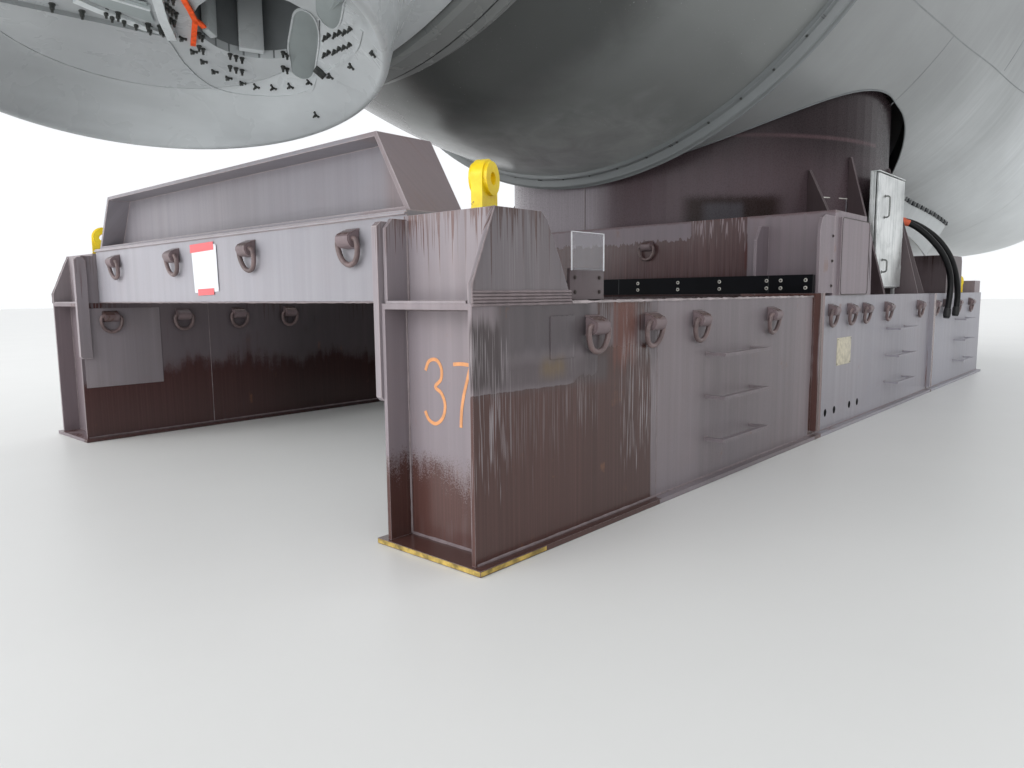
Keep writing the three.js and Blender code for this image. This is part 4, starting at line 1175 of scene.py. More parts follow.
def revolve_z(profile, n=128):
    v, f = [], []
    k = len(profile)
    for (r, h) in profile:
        v += [(r * math.cos(2 * math.pi * i / n), r * math.sin(2 * math.pi * i / n), h) for i in range(n)]
    for j in range(k - 1):
        for i in range(n):
            q = (i + 1) % n
            f.append([j * n + i, j * n + q, (j + 1) * n + q, (j + 1) * n + i])
    return v, f


NOSE = smooth_profile([(-10.6, 0.0), (-10.56, 0.70), (-10.38, 1.35), (-10.05, 1.95), (-9.5, 2.56), (-8.8, 3.02), (-8.0, 3.33), (-7.0, 3.50), (-6.0, 3.57), (-5.0, 3.60), (-4.60, 3.60)], 0.09)
v, f = revolve_x(NOSE + [(-4.575, 3.598), (-4.56, 3.585), (-4.56, 0.0)], 224)
hub = new_obj("hub_skin", v, f, M_HUB, body=None, smooth=True, angle=40)
for i in range(3):
    cv, cf = cyl_mesh(1.60, 2.4, 96)
    B = blade_frame(TURN + 120 * i) @ Matrix.Translation((0, 0, 2.55))
    boolean(hub, new_obj("cut", [B @ Vector(q) for q in cv], cf, M_HUB, body=None))
for p in hub.data.polygons:
    p.use_smooth = True
hub.data.set_sharp_from_angle(angle=math.radians(40))
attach(hub, ROTOR)
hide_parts("hub_cover", "blade_seat_1", "blade_seat_2", "blade_seat_3")

COLLAR = [(1.60, 2.6), (1.66, 2.61), (1.66, 2.95), (1.657, 3.2), (1.64, 3.42), (1.60, 3.53), (1.53, 3.66), (1.47, 3.80), (1.436, 3.91), (1.414, 3.99), (1.403, 4.03), (1.389, 4.053), (1.372, 4.060),
          (1.356, 4.057), (1.347, 4.049), (1.337, 4.033), (1.315, 4.008), (1.285, 3.977), (1.245, 3.939), (1.20, 3.902), (1.145, 3.860), (1.09, 3.822), (1.04, 3.792), (1.005, 3.770), (0.990, 3.7625), (0.983, 3.7605), (0.983, 3.70)]
BLADES = [blade_frame(TURN + 120 * i) for i in range(3)]
B0i = BLADES[0].inverted()
for i, B in enumerate(BLADES):
    v, f = revolve_z(COLLAR, 168)
    c = new_obj(f"blade_collar_{i + 1}_skin", [B @ Vector(q) for q in v], f, M_HUB, body=ROTOR, smooth=True, angle=60)
    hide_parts(f"blade_collar_{i + 1}")
    o = NODES[f"blade_flange_{i + 1}"]
    o.data.materials.clear()
    o.data.materials.append(M_HUB)
    # lining of the manhole, closed behind
    v, f = cyl_mesh(0.3795, 0.52, 64)
    f = [q for q in f if not (len(q) > 4 and v[q[0]][2] > 0.3)]
    M = B @ Matrix.Translation((PLATE_AT[0], PLATE_AT[1], 3.235))
    new_obj(f"manhole_lining_{i + 1}", [M @ Vector(q) for q in v], f, M_LINING, body=ROTOR, smooth=True, angle=40)

# everything in the lowest opening is laid out through the camera, then repeated in the other two
BELL = [(0.0, 3.7605), (0.983, 3.7605), (1.005, 3.770), (1.04, 3.792), (1.09, 3.822), (1.145, 3.860), (1.20, 3.902), (1.245, 3.939), (1.285, 3.977), (1.315, 4.008), (1.337, 4.033), (1.347, 4.049)]


def bell_height(r):
    for (a, ha), (b, hb) in zip(BELL, BELL[1:]):
        if r <= b:
            return ha + (hb - ha) * (r - a) / max(1e-6, b - a)
    return 4.05


def bell_normal(u, v):
    r = math.hypot(u, v)
    if r < 0.984:
        return Vector((0, 0, 1))
    k = (bell_height(min(1.345, r + 0.01)) - bell_height(r - 0.01)) / 0.02
    return Vector((-u / r * k, -v / r * k, 1)).normalized()


def in_bell(px, py, lift=0.0):
    """Point of the opening's inner surface, in the blade's own axes, behind a point of the frame."""
    o_ = B0i @ CAM
    d_ = (B0i.to_3x3() @ ray(px, py)).normalized()
    best = None
    t = (3.70 - o_.z) / d_.z if abs(d_.z) > 1e-6 else 0
    # march towards the surface from outside
    steps = 400
    t0, t1 = (4.06 - o_.z) / d_.z, (3.755 - o_.z) / d_.z
    for i in range(steps + 1):
        q = o_ + d_ * (t0 + (t1 - t0) * i / steps)
        r = math.hypot(q.x, q.y)
        if q.z <= bell_height(r) + 0.0005:
            best = q
            break
    if best is None:
        best = o_ + d_ * t1
    n = bell_normal(best.x, best.y)
    return best + n * lift, n


class BladeBatch(Batch):
    """A batch made in the blade's own axes and repeated in all three openings."""

    def done(self, name=None):
        out = []
        for i, B in enumerate(BLADES):
            out.append(new_obj(f"{name or self.name}_{i + 1}", [B @ Vector(q) for q in self.v], [list(q) for q in self.f], self.mats, ROTOR, self.smooth, self.angle, list(self.mi)))
        return out


def px_line(pts, step=6.0):
    """Smooth run of frame points through the given ones."""
    c = curve_through([(a, b, 0) for a, b in pts], step)
    return [(q.x, q.y) for q in c]


hd = BladeBatch("opening_fittings", [M_HUB, M_PIN, M_SEAM, M_PANEL, M_LINING, M_STRAP, M_FRAME_RAIL])
# raised edge of the bolted plate
edge_px = px_line([(163, 34), (172, 47), (184, 64), (204, 82), (222, 91), (242, 95), (281, 97), (301, 94), (312, 89), (316, 77), (330, 70), (345, 60), (357, 48), (362, 30)], 5)
hits = [in_bell(*q) for q in edge_px]
ribbon(hd, [h[0] for h in hits], [h[1] for h in hits], 0.020, 0.007, 0)
# shelf's straight edge, with its dark joint below
left_px = [(-160, -32), (-120, -24), (-60, -12), (0, 0), (40, 8.5), (80, 17), (120, 25.5), (150, 32), (173, 37)]
hits = [in_bell(*q) for q in left_px]
ribbon(hd, [h[0] + Vector((0, 0.016, 0)) for h in hits], [h[1] for h in hits], 0.035, 0.030, 0)
ribbon(hd, [h[0] for h in hits], [h[1] for h in hits], 0.014, 0.008, 2)
# rail and light panel of the frame above the shelf
for pts, wd, mi, th in (([(150, -30), (157, -6), (163, 14), (172, 34)], 0.055, 6, 0.045), ([(75, -2), (98, 8), (120, 16), (160, 32)], 0.05, 6, 0.02), ([(80, -14), (110, -6), (150, 6)], 0.02, 6, 0.03)):
    hits = [in_bell(*q) for q in pts]
    ribbon(hd, [h[0] for h in hits], [h[1] for h in hits], wd, th, mi)
pa = [in_bell(*q)[0] for q in ((70, -16), (146, 0), (155, 22), (86, -2))]
n_ = Vector((0, 0, 1))
b_ = len(hd.v)
hd.v += [tuple(q + n_ * 0.012) for q in pa]
hd.f.append([b_, b_ + 1, b_ + 2, b_ + 3])
hd.mi.append(3)
for q in ((52, 4), (82, 11), (106, 10), (112, 14), (118, 13), (124, 18), (136, 22), (148, 24), (150, 27), (160, 26), (163, 29)):
    p, n = in_bell(*q)
    hd.hexbolt(p, n, 0.014, 0.03, 1)
# three-armed clamps along the plate's edge
for (a, b) in ((182, 38), (193, 51), (203, 61), (214, 71), (228, 77.5), (242, 82.5), (256, 86.5), (273, 87.5), (290, 86), (309, 82), (330, 76), (351, 66), (373, 53), (316, 115)):
    p, n = in_bell(a, b)
    M = frame_at(p, n, (1, 0, 0))
    v, f = cyl_mesh(0.010, 0.022, 12, 0.002)
    hd.add(v, f, 1, M)
    for q in range(3):
        A = M @ Matrix.Rotation(q * 2 * math.pi / 3 + 0.5, 4, "Z")
        v, f = box_mesh((0.004, -0.0055, 0.0), (0.027, 0.0055, 0.010), 0.002)
        hd.add(v, f, 1, A)
        v, f = cyl_mesh(0.0065, 0.015, 8, 0.001)
        hd.add(v, f, 1, A @ Matrix.Translation((0.024, 0, 0)))
# studs with their nuts, in short rows
for (a, b) in ((230, 54), (236, 56), (242, 58), (230, 66), (236, 68), (242, 70), (283, 52), (287, 54), (283, 66.5), (287, 68.5), (199, 33), (202, 36), (199, 46), (203, 49),
               (166, 4), (169, 7), (172, 10), (176, 13), (170, 18), (174, 21), (168, -4), (173, -1), (325.5, 37), (329, 34.5), (335.5, 34), (340, 31.5), (345.5, 31), (350.5, 28),
               (325, 54), (329, 51.5), (335, 51), (339.5, 48), (344.5, 46.5), (350, 44)):
    p, n = in_bell(a, b)
    v, f = cyl_mesh(0.017, 0.004, 14, 0.001)
    hd.add(v, f, 1, frame_at(p, n))
    v, f = cyl_mesh(0.0135, 0.020, 6, 0.002)
    hd.add(v, f, 1, frame_at(p, n))
    v, f = cyl_mesh(0.008, 0.040, 10, 0.001)
    hd.add(v, f, 1, frame_at(p, n))
# dark block by the plate's corner
p, n = in_bell(321, 71)
v, f = box_mesh((-0.042, -0.022, 0), (0.042, 0.022, 0.035), 0.005)
hd.add(v, f, 1, frame_at(p, n, (1, 0.2, 0)))
# long holes drawn as mid-grey sheets laid on the plate inside a raised rim: painted shade standing in for the openings
for outline in ([(301, 9), (294, 13), (291, 26), (288, 46), (290, 62), (293, 73), (304, 79), (313, 75), (317, 58), (319, 38), (316, 22), (310, 13)],
                [(317, -14), (315, 0), (316, 12), (323, 22), (331, 28), (337, 27), (341, 20), (344, 4), (346, -10)]):
    ring_px = []
    m_ = len(outline)
    for i in range(m_):
        a, b, c, d_ = (Vector((*outline[(i + k) % m_], 0)) for k in (-1, 0, 1, 2))
        for t in (0.0, 0.25, 0.5, 0.75):
            q = 0.5 * ((2 * b) + (-a + c) * t + (2 * a - 5 * b + 4 * c - d_) * t * t + (-a + 3 * b - 3 * c + d_) * t ** 3)
            ring_px.append((q.x, q.y))
    pts = [in_bell(*q) for q in ring_px]
    cen = Vector((0, 0, 0))
    for q, _ in pts:
        cen += q / len(pts)
    b_ = len(hd.v)
    hd.v += [tuple(q + n * 0.0025) for q, n in pts] + [tuple(cen + Vector((0, 0, 0.0025)))]
    for i in range(len(pts)):
        hd.f.append([b_ + i, b_ + (i + 1) % len(pts), b_ + len(pts)])
        hd.mi.append(3)
    ribbon(hd, [q for q, _ in pts], [n for _, n in pts], 0.010, 0.008, 0, closed=True)
# bright post and side panel standing in the manhole
c0 = Vector((PLATE_AT[0], PLATE_AT[1], 0))
for (a0, r0, wd, mi) in ((-122, 0.34, 0.10, 6), (-68, 0.335, 0.16, 0)):
    a = math.radians(a0)
    q = c0 + Vector((math.cos(a), math.sin(a), 0)) * r0
    M = frame_at((q.x, q.y, 3.24), (0, 0, 1), (-math.sin(a), math.cos(a), 0))
    v, f = box_mesh((-wd / 2, -0.02, 0), (wd / 2, 0.03, 0.50), 0.008)
    hd.add(v, f, mi, M)
# orange lifting strap, knotted
for pts in ([(178, -14), (184, -2), (190, 8), (195, 18)], [(195, 18), (194, 30), (193, 43)], [(195, 18), (200, 21), (204, 25)]):
    hits = [in_bell(*q) for q in pts]
    ribbon(hd, [h[0] + h[1] * 0.012 for h in hits], [h[1] for h in hits], 0.032, 0.010, 5)
hd.done()

# ------------------------------------------------------------------ lashing rings
LASH_PROFILE = [(0.0, 0.0), (0.024, 0.0), (0.068, -0.022), (0.084, -0.040), (0.086, -0.060), (0.074, -0.088), (0.052, -0.102), (0.024, -0.106), (0.0, -0.106)]


def lash(batch, p, normal, width=0.135, sway=0.0):
    """Clamp block welded to a plate, with its ring hanging from it; p is the middle of the block's top edge."""
    n = Vector(normal)
    zz = Vector((0, 0, 1))
    t = zz.cross(n)
    M = Matrix.Identity(4)
    for i in range(3):
        M[i][0], M[i][1], M[i][2], M[i][3] = t[i], n[i], zz[i], p[i]
    k = len(LASH_PROFILE)
    bm = bmesh.new()
    a = [bm.verts.new((-width / 2, d, z)) for d, z in LASH_PROFILE]
    b = [bm.verts.new((width / 2, d, z)) for d, z in LASH_PROFILE]
    bm.faces.new(a[::-1])
    bm.faces.new(b)
    for i in range(k):
        bm.faces.new((a[i], a[(i + 1) % k], b[(i + 1) % k], b[i]))
    bmesh.ops.recalc_face_normals(bm, faces=bm.faces)
    bmesh.ops.bevel(bm, geom=[e for e in bm.edges if abs(e.verts[0].co.x - e.verts[1].co.x) < 1e-6], offset=0.006, segments=2, affect="EDGES", clamp_overlap=True)
    bm.verts.index_update()
    batch.add([tuple(v.co) for v in bm.verts], [[v.index for v in f.verts] for f in bm.faces], 0, M)
    bm.free()
    # weld fillets along the block's top and bottom
    for z in (0.002, -0.102):
        v, f = tube_mesh([M @ Vector((x, 0.002, z)) for x in (-width / 2, 0, width / 2)], 0.006, 6)
        batch.add(v, f)
    ring = [(-0.05, -0.052), (0.05, -0.052), (0.082, -0.058), (0.093, -0.082), (0.091, -0.115), (0.078, -0.153), (0.050, -0.186), (0.0, -0.202), (-0.050, -0.186), (-0.078, -0.153),
            (-0.091, -0.115), (-0.093, -0.082), (-0.082, -0.058)]
    pts = []
    m_ = len(ring)
    for i in range(m_):
        q = [Vector(ring[(i + j) % m_]) for j in (-1, 0, 1, 2)]
        for s_ in range(3):
            u = s_ / 3
            w = 0.5 * ((2 * q[1]) + (-q[0] + q[2]) * u + (2 * q[0] - 5 * q[1] + 4 * q[2] - q[3]) * u * u + (-q[0] + 3 * q[1] - 3 * q[2] + q[3]) * u ** 3)
            depth = 0.048 - 0.018 * (-w.y - 0.05) / 0.15
            pts.append(M @ Vector((w.x + sway * (-w.y) * 0.3, depth, w.y)))
    v, f = tube_mesh(pts, 0.0165, 12, closed=True)
    batch.add(v, f, 1)


LASH_X = (-5.01, -4.39, -3.78, -2.55, -1.16, -0.62, -0.14, 0.64, 2.02, 2.85, 3.42, 4.18, 5.08)
for w, sgn in (("right", -1), ("left", 1)):
    rings = Batch(f"lashing_rings_side_{w}", [M_RINGS, M_RINGBAR])
    for x in LASH_X:
        lash(rings, (x, sgn * OUTER, 1.225), (0, sgn, 0), 0.13 + rng.uniform(-0.008, 0.008), rng.uniform(-0.25, 0.25))
    for x in (-5.70, -5.00, -4.395, -3.77):
        lash(rings, (x, sgn * INNER, 1.235), (0, -sgn, 0), 0.135, rng.uniform(-0.25, 0.25))
    rings.done()
front = Batch("lashing_rings_front", [M_RINGS, M_RINGBAR])
for y in (-1.765, -0.60, 0.56, 1.745):
    lash(front, (-5.78, y, 1.733), (-1, 0, 0), 0.13, rng.uniform(-0.3, 0.3))
for y in (-0.90, 0.90):
    lash(front, (-1.12, y, 1.925), (-1, 0, 0), 0.13, rng.uniform(-0.3, 0.3))
front.done()

# ------------------------------------------------------------------ welds, patch plates and small plates on the frame
M_BEAD = plain("bead_pale", srgb(164, 154, 155), 0.32, var=0.35, scale=7.0, bump=0.002)
weld = Batch("weld_beads", [M_WELD, M_POST, M_GIRDER_RF, M_BEAD])


def bead(pts, r=0.006, mi=0, wob=0.0018):
    line = []
    for a, b in zip(pts, pts[1:]):
        a, b = Vector(a), Vector(b)
        n = max(2, int((b - a).length / 0.035))
        for i in range(n):
            line.append(a + (b - a) * (i / n))
    line.append(Vector(pts[-1]))
    v, f = tube_mesh(line, [r + rng.uniform(-wob, wob) for _ in line], 6)
    weld.add(v, f, mi)


for sgn in (-1, 1):
    yo, yi = sgn * OUTER, sgn * INNER
    # deck edge and bottom plate along the webs
    for z, r in ((0.033, 0.008),):
        bead([(-5.96, yo, z), (5.96, yo, z)], r)
        bead([(-5.96, yi, z), (5.96, yi, z)], r)
    # passes that join the corner post to the girder
    for j, z in enumerate((1.302, 1.318, 1.333, 1.349, 1.365)):
        bead([(-5.97, yo + sgn * 0.001, z), (-5.21, yo + sgn * 0.001, z)], 0.0075)
    bead([(-5.972, sgn * 2.93, 1.31), (-5.972, sgn * 2.93, 1.40), (-5.81, sgn * 2.93, 1.772)], 0.005)
    # front plate of the corner post to its sides
    bead([(-5.808, sgn * 2.895, 1.325), (-5.808, sgn * 2.895, 1.765)], 0.006)
    bead([(-5.808, sgn * 2.285, 1.325), (-5.808, sgn * 2.285, 1.745)], 0.010)
    # closing plate in the girder's end
    bead([(-5.824, sgn * 2.895, 0.035), (-5.824, sgn * 2.895, 1.275)], 0.008)
    bead([(-5.824, sgn * 2.283, 0.035), (-5.824, sgn * 2.283, 1.275)], 0.008)
    bead([(-5.824, sgn * 2.29, 0.035), (-5.824, sgn * 2.89, 0.035)], 0.009)
    bead([(-5.824, sgn * 2.29, 1.276), (-5.824, sgn * 2.89, 1.276)], 0.008)
    # steps
    for x in (-3.64, 0.69, 4.15):
        for z in (0.310, 0.615, 0.920):
            for dx in (0.02, 0.75):
                bead([(x + dx - 0.026, yo, z + 0.012), (x + dx + 0.026, yo, z + 0.012)], 0.005)
    # seam across the web
    bead([(-4.30, yo, 0.04), (-4.30, yo, 1.30)], 0.0035, 0, 0.001)
    bead([(-4.72, yi, 0.04), (-4.72, yi, 1.30)], 0.0035, 0, 0.001)
    # pale ragged bead along the deck edge: peeled paint and mud, partly a painted highlight on the wet edge
    bead([(-5.20, sgn * 2.922, 1.306), (-1.62, sgn * 2.922, 1.306)], 0.0085, 3, 0.0035)
bead([(-5.782, -2.24, 1.314), (-5.782, 2.24, 1.314)], 0.006)
# low patch plates
for (lo, hi) in (((-5.39, -2.931, 1.005), (-5.18, -2.923, 1.235)), ((-5.39, 2.923, 1.005), (-5.18, 2.931, 1.235)), ((-5.945, 2.246, 0.51), (-5.23, 2.255, 1.26)), ((-5.945, -2.255, 0.51), (-5.23, -2.246, 1.26))):
    weld.box(lo, hi, 2 if lo[1] < -2.5 else 1, 0.003)
# vertical welds on the tower adapter
for deg in (90.4, -75, 190):
    a = math.radians(deg)
    c_ = Vector((1.48 - 2.5515 * math.sin(a), -2.5515 * math.cos(a), 0))
    bead([c_ + Vector((0, 0, 1.35)), c_ + Vector((0, 0, 4.1))], 0.007)
weld.done()

# guard strip's fixing bolts, in pairs on pale washers
glo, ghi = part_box("guard_strip")
gb = Batch("guard_bolts", [M_WASHER, M_BOLT, M_SEAM])
for y in (-2.83, -2.599, -2.464, -1.984, -1.524, -1.044, -0.56, -0.1, 0.36, 0.82, 1.28, 1.74, 2.2, 2.66):
    for z in (glo[2] + 0.05, ghi[2] - 0.05):
        p = (glo[0], y, z)
        v, f = cyl_mesh(0.017, 0.004, 16, 0.001)
        gb.add(v, f, 0, frame_at(p, (-1, 0, 0)))
        v, f = cyl_mesh(0.010, 0.010, 6, 0.002)
        gb.add(v, f, 1, frame_at(p, (-1, 0, 0)))
for y in (-2.48, -0.8, 1.0):
    gb.box((glo[0] - 0.0015, y - 0.003, glo[2] + 0.004), (glo[0] + 0.002, y + 0.003, ghi[2] - 0.004), 2)
gb.done()

# blank yellowed plate, sheet under red tape, clear pane and its bracket
sm = Batch("label_plate", [M_LABEL, M_BOLT])
sm.box((-0.935, -2.9275, 0.625), (-0.525, -2.9235, 0.895), 0, 0.001)
for x in (-0.92, -0.54):
    for z in (0.64, 0.88):
        sm.cyl((x, -2.9275, z), (0, -1, 0), 0.006, 0.003, 10, 1)
sm.done()
sh = Batch("taped_sheet", [M_PAPER, M_TAPE_RED, M_TAPE_WHITE], smooth=False)
sh.add([(-5.784, -0.112, 1.395), (-5.784, 0.262, 1.388), (-5.786, 0.284, 1.738), (-5.786, -0.092, 1.742), (-5.7805, -0.112, 1.395), (-5.7805, 0.262, 1.388), (-5.7805, 0.284, 1.738), (-5.7805, -0.092, 1.742)],
       [[0, 1, 2, 3], [0, 4, 5, 1], [1, 5, 6, 2], [2, 6, 7, 3], [3, 7, 4, 0]], 0)
sh.add([(-5.7875, -0.075, 1.700), (-5.7875, 0.300, 1.690), (-5.7875, 0.302, 1.752), (-5.7875, -0.072, 1.760)], [[0, 1, 2, 3]], 1)
sh.add([(-5.7875, -0.050, 1.372), (-5.7875, 0.205, 1.366), (-5.7875, 0.207, 1.415), (-5.7875, -0.048, 1.420)], [[0, 1, 2, 3]], 1)
sh.add([(-5.7870, -0.122, 1.400), (-5.7870, -0.070, 1.400), (-5.7870, -0.062, 1.735), (-5.7870, -0.112, 1.735)], [[0, 1, 2, 3]], 2)
sh.done()
br = Batch("pane_bracket", [M_DARK, M_BOLT])
br.box((-5.205, -2.915, 1.310), (-4.885, -2.895, 1.490), 0, 0.003)
br.box((-5.205, -2.915, 1.310), (-4.885, -2.82, 1.322), 0, 0.003)
for x in (-5.16, -4.93):
    for z in (1.36, 1.44):
        br.cyl((x, -2.915, z), (0, -1, 0), 0.012, 0.003, 14, 1)
        br.cyl((x, -2.917, z), (0, -1, 0), 0.008, 0.006, 6, 1)
br.done()
pn = Batch("clear_pane", [M_CLEAR, M_TAPE_WHITE])
pn.box((-5.195, -2.922, 1.480), (-4.895, -2.917, 1.685), 0, 0.001)
for lo, hi in (((-5.198, -2.923, 1.478), (-5.193, -2.916, 1.688)), ((-4.897, -2.923, 1.478), (-4.892, -2.916, 1.688)), ((-5.198, -2.923, 1.684), (-4.892, -2.916, 1.688))):
    pn.box(lo, hi, 1, 0.001)
pn.done()

# bolts on the cover panel beside the seat
cv_ = Batch("panel_bolts", M_BOLT)
for x in (-0.94, -0.565, -0.19):
    for z in (1.35, 1.99):
        cv_.cyl((x, -OUTER - 0.012, z), (0, -1, 0), 0.009, 0.006, 6, 0)
for sgn in (-1, 1):
    for z in (1.865, 1.634, 1.402):
        cv_.cyl((-1.168, sgn * 2.921, z), (0, sgn, 0), 0.016, 0.004, 14, 0)
        cv_.cyl((-1.168, sgn * 2.924, z), (0, sgn, 0), 0.011, 0.010, 6, 0)
cv_.done()
cf_ = Batch("panel_frames", [M_BOLT, M_GIRDER_RR, M_WASHER])
for sgn in (-1, 1):
    loop_ = []
    for cx_, cz_, a0 in ((-0.20, 2.005, 0), (-0.935, 2.005, 90), (-0.935, 1.365, 180), (-0.20, 1.365, 270)):
        for q in range(5):
            a = math.radians(a0 + 22.5 * q)
            loop_.append(Vector((cx_ + 0.045 * math.cos(a), sgn * 2.9455, cz_ + 0.045 * math.sin(a))))
    cf_.tube(loop_, 0.0045, 8, 0, closed=True)
    # small plate with a flat top edge, between the first two gussets
    a, b = Vector((0.318, sgn * 2.27, 1.312)), Vector((0.703, sgn * 2.429, 1.312))
    d_ = (b - a).normalized()
    out_ = Vector((d_.y, -d_.x, 0)) * (1 if sgn < 0 else -1)
    M = Matrix.Identity(4)
    for i in range(3):
        M[i][0], M[i][1], M[i][2], M[i][3] = d_[i], out_[i], (0, 0, 1)[i], a[i]
    L_ = (b - a).length
    cf_.box((0, -0.012, 0), (L_, 0, 1.095), 1, 0.002, M)
    cf_.box((0, -0.03, 1.095), (L_, 0.006, 1.107), 2, 0.002, M)
    cf_.box((L_ - 0.012, -0.09, 0), (L_, 0, 1.095), 1, 0.002, M)
cf_.done()

# ------------------------------------------------------------------ cabinet: rain edge, handles, hinge knuckles
cabt = Batch("cabinet_fittings", [M_STAINLESS, M_RUBBER], slot="stainless")
clo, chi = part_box("cabinet_body")
cabt.box((0.765, -2.752, 2.700), (1.846, -2.654, 2.712), 0, 0.003)
for z in (1.62, 2.05, 2.48):
    cabt.cyl((1.835, -2.737, z - 0.045), (0, 0, 1), 0.011, 0.09, 16, 0, 0.002)
cabt.box((0.775, -2.7225, 1.392), (1.838, -2.7165, 2.694), 1, 0.002)
cabt.done()
dr = Batch("cabinet_door_fittings", [M_STEELBAR, M_STAINLESS], body=DOOR, slot="stainless")
dlo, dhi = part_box("cabinet_door")
yf = dlo[1]
for (xa, z0, z1) in ((1.02, 2.20, 2.44), (1.02, 1.57, 1.71)):
    pts = curve_through([(xa, yf, z0), (xa, yf - 0.030, z0), (xa, yf - 0.052, z0 + 0.012), (xa, yf - 0.056, z0 + 0.045), (xa, yf - 0.056, z1 - 0.045), (xa, yf - 0.052, z1 - 0.012), (xa, yf - 0.030, z1), (xa, yf, z1)], 0.01)
    dr.tube(pts, 0.0095, 12, 0)
    for z in (z0, z1):
        dr.cyl((xa, yf, z), (0, -1, 0), 0.020, 0.005, 18, 0, 0.001)
dr.box((0.800, yf - 0.0025, 1.415), (1.812, yf + 0.001, 2.670), 1, 0.002)
dr.done()

# ------------------------------------------------------------------ numeral sprayed on the girder's end, and worn yellow along the bottom plate
sp = Batch("sprayed_numeral", M_ORANGE, smooth=False)


def stroke(pts, wd=0.019):
    line = curve_through([(-5.8262, y, z) for y, z in pts], 0.012)
    ribbon(sp, line, [Vector((-1, 0, 0))] * len(line), wd, 0.001)


# a plain 3 and 7, seen from the front
stroke([(-2.425, 0.955), (-2.455, 1.005), (-2.51, 1.015), (-2.548, 0.975), (-2.545, 0.915), (-2.50, 0.872), (-2.545, 0.842), (-2.572, 0.785), (-2.555, 0.715), (-2.50, 0.675), (-2.445, 0.690), (-2.415, 0.735)])
stroke([(-2.64, 0.998), (-2.70, 1.003), (-2.765, 1.000)])
stroke([(-2.765, 1.000), (-2.742, 0.93), (-2.712, 0.84), (-2.695, 0.76), (-2.688, 0.675)])
sp.done()
ye = Batch("worn_yellow_edge", M_YELLOW_WORN)
ye.box((-6.0009, -2.980, 0.003), (-5.9995, -2.198, 0.027), 0)
ye.box((-5.999, -2.9849, 0.004), (-5.50, -2.9835, 0.026), 0)
ye.done()

# ------------------------------------------------------------------ hatch under the canopy, hanging a little open on its comb of hinges
hatch = Batch("belly_hatch", [M_SHELL, M_SEAM, M_ZINC], slot="shell_grey")


def on_side(x, z, sgn=-1, out=0.0):
    w = turn_at(x, z, sgn)
    return canopy_point(x, w) + canopy_normal(x, w) * out


HINGE = [(4.08, 2.756), (4.31, 2.70), (4.62, 2.635), (4.95, 2.562), (5.2, 2.50), (5.445, 2.436)]
line = [on_side(x, z, -1, 0.006) for x, z in smooth_profile(HINGE, 0.05)]
m_ = len(line)
drop = [Vector((0.0, 0.30, -0.50)) if i == 0 else Vector((0.0, 0.29, -0.52)) for i in range(m_)]
b_ = len(hatch.v)
for i, q in enumerate(line):
    lo_ = q + drop[i] * (0.62 + 0.38 * i / (m_ - 1))
    hatch.v += [tuple(q), tuple(lo_), tuple(lo_ + Vector((0, 0.022, 0.012))), tuple(q + Vector((0, 0.022, 0.012)))]
for i in range(m_ - 1):
    a, c = b_ + 4 * i, b_ + 4 * (i + 1)
    for k_ in range(4):
        hatch.f.append([a + k_, a + (k_ + 1) % 4, c + (k_ + 1) % 4, c + k_])
        hatch.mi.append(0)
hatch.f += [[b_, b_ + 1, b_ + 2, b_ + 3], [b_ + 4 * (m_ - 1) + q for q in (3, 2, 1, 0)]]
hatch.mi += [0, 0]
# dark band on the skin below the hinge line, painted shade standing in for the hole behind the hatch; and the comb of
# its hinge
b_ = len(hatch.v)
for q, (x, z) in zip(line, smooth_profile(HINGE, 0.05)):
    inner_ = on_side(x, z - 0.16, -1, 0.003)
    hatch.v += [tuple(on_side(x, z, -1, 0.003)), tuple(inner_)]
for i in range(m_ - 1):
    hatch.f.append([b_ + 2 * i, b_ + 2 * i + 2, b_ + 2 * i + 3, b_ + 2 * i + 1])
    hatch.mi.append(1)
for i in range(22):
    t = (i + 0.5) / 22 * (m_ - 1)
    k_ = min(m_ - 2, int(t))
    q = line[k_] + (line[k_ + 1] - line[k_]) * (t - k_)
    dir_ = (line[k_ + 1] - line[k_]).normalized()
    M = frame_at(q, dir_, (0, 0, 1))
    v, f = box_mesh((-0.045, -0.014, -0.014), (0.030, 0.016, 0.014), 0.003)
    hatch.add(v, f, 1 if i % 2 else 2, M)
hatch.done()

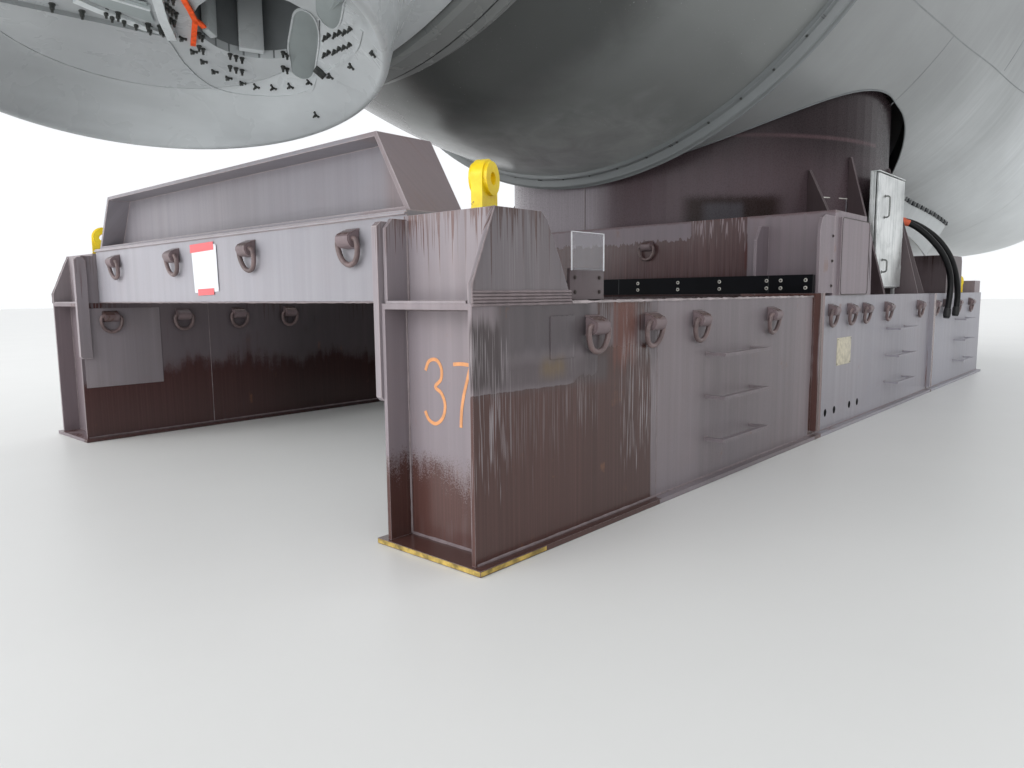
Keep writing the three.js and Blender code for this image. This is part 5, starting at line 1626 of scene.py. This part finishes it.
# ------------------------------------------------------------------ floor and light
me = bpy.data.meshes.new("floor")
me.from_pydata([(-60, -60, -0.002), (120, -60, -0.002), (120, 120, -0.002), (-60, 120, -0.002)], [], [(0, 1, 2, 3)])
k = Mat("floor_pale")
a = k.noise(None, 0.6, 4.0, 0.6)
k.color(k.mix(a, (0.72, 0.72, 0.705), (0.78, 0.78, 0.765)))
k.rough(0.42)
me.materials.append(k.mat)
floor = bpy.data.objects.new("floor", me)
scene.collection.objects.link(floor)

# soft bright sky: strongest from before the rotor, weaker from the right-hand side
world = bpy.data.worlds.new("sky")
scene.world = world
world.use_nodes = True
wt = world.node_tree
bg = wt.nodes["Background"]
bg.inputs[0].default_value = (0.965, 0.98, 1.0, 1)
tc = wt.nodes.new("ShaderNodeTexCoord")
sp_ = wt.nodes.new("ShaderNodeSeparateXYZ")
wt.links.new(tc.outputs["Generated"], sp_.inputs[0])
wx, wy, wz = (Val(wt, sp_.outputs[i]) for i in range(3))
front_ = (wx * -1.0).at_least(0.0).power(1.5) * 1.25
right_ = (wy * -1.0).at_least(0.0).power(1.5) * 0.62
strength = (1.04 + front_ - right_)
wt.links.new(strength.s, bg.inputs[1])


def area(name, loc, target, size, power, color=(1, 1, 1)):
    d = bpy.data.lights.new(name, "AREA")
    d.shape = "RECTANGLE"
    d.size, d.size_y = size
    d.energy = power
    d.color = color
    o = bpy.data.objects.new(name, d)
    scene.collection.objects.link(o)
    o.location = loc
    o.rotation_euler = (Vector(target) - Vector(loc)).to_track_quat("-Z", "Y").to_euler()
    return o


area("key", (-24, 6, 16), (-3, 0, 1), (16, 12), 1500, (1.0, 0.99, 0.97))
# light thrown up by pale ground before and beside the object
for nm, at, to, sz, pw in (("bounce_front", (-9.6, -0.5, 0.06), (-9.2, -0.5, 6), (5.5, 6.0), 210), ("bounce_side", (4.0, -8.5, 0.06), (4.0, -7.6, 6), (12.0, 5.0), 360)):
    o = area(nm, at, to, sz, pw, (0.98, 0.99, 1.0))
    o.visible_camera = False
    o.visible_glossy = False
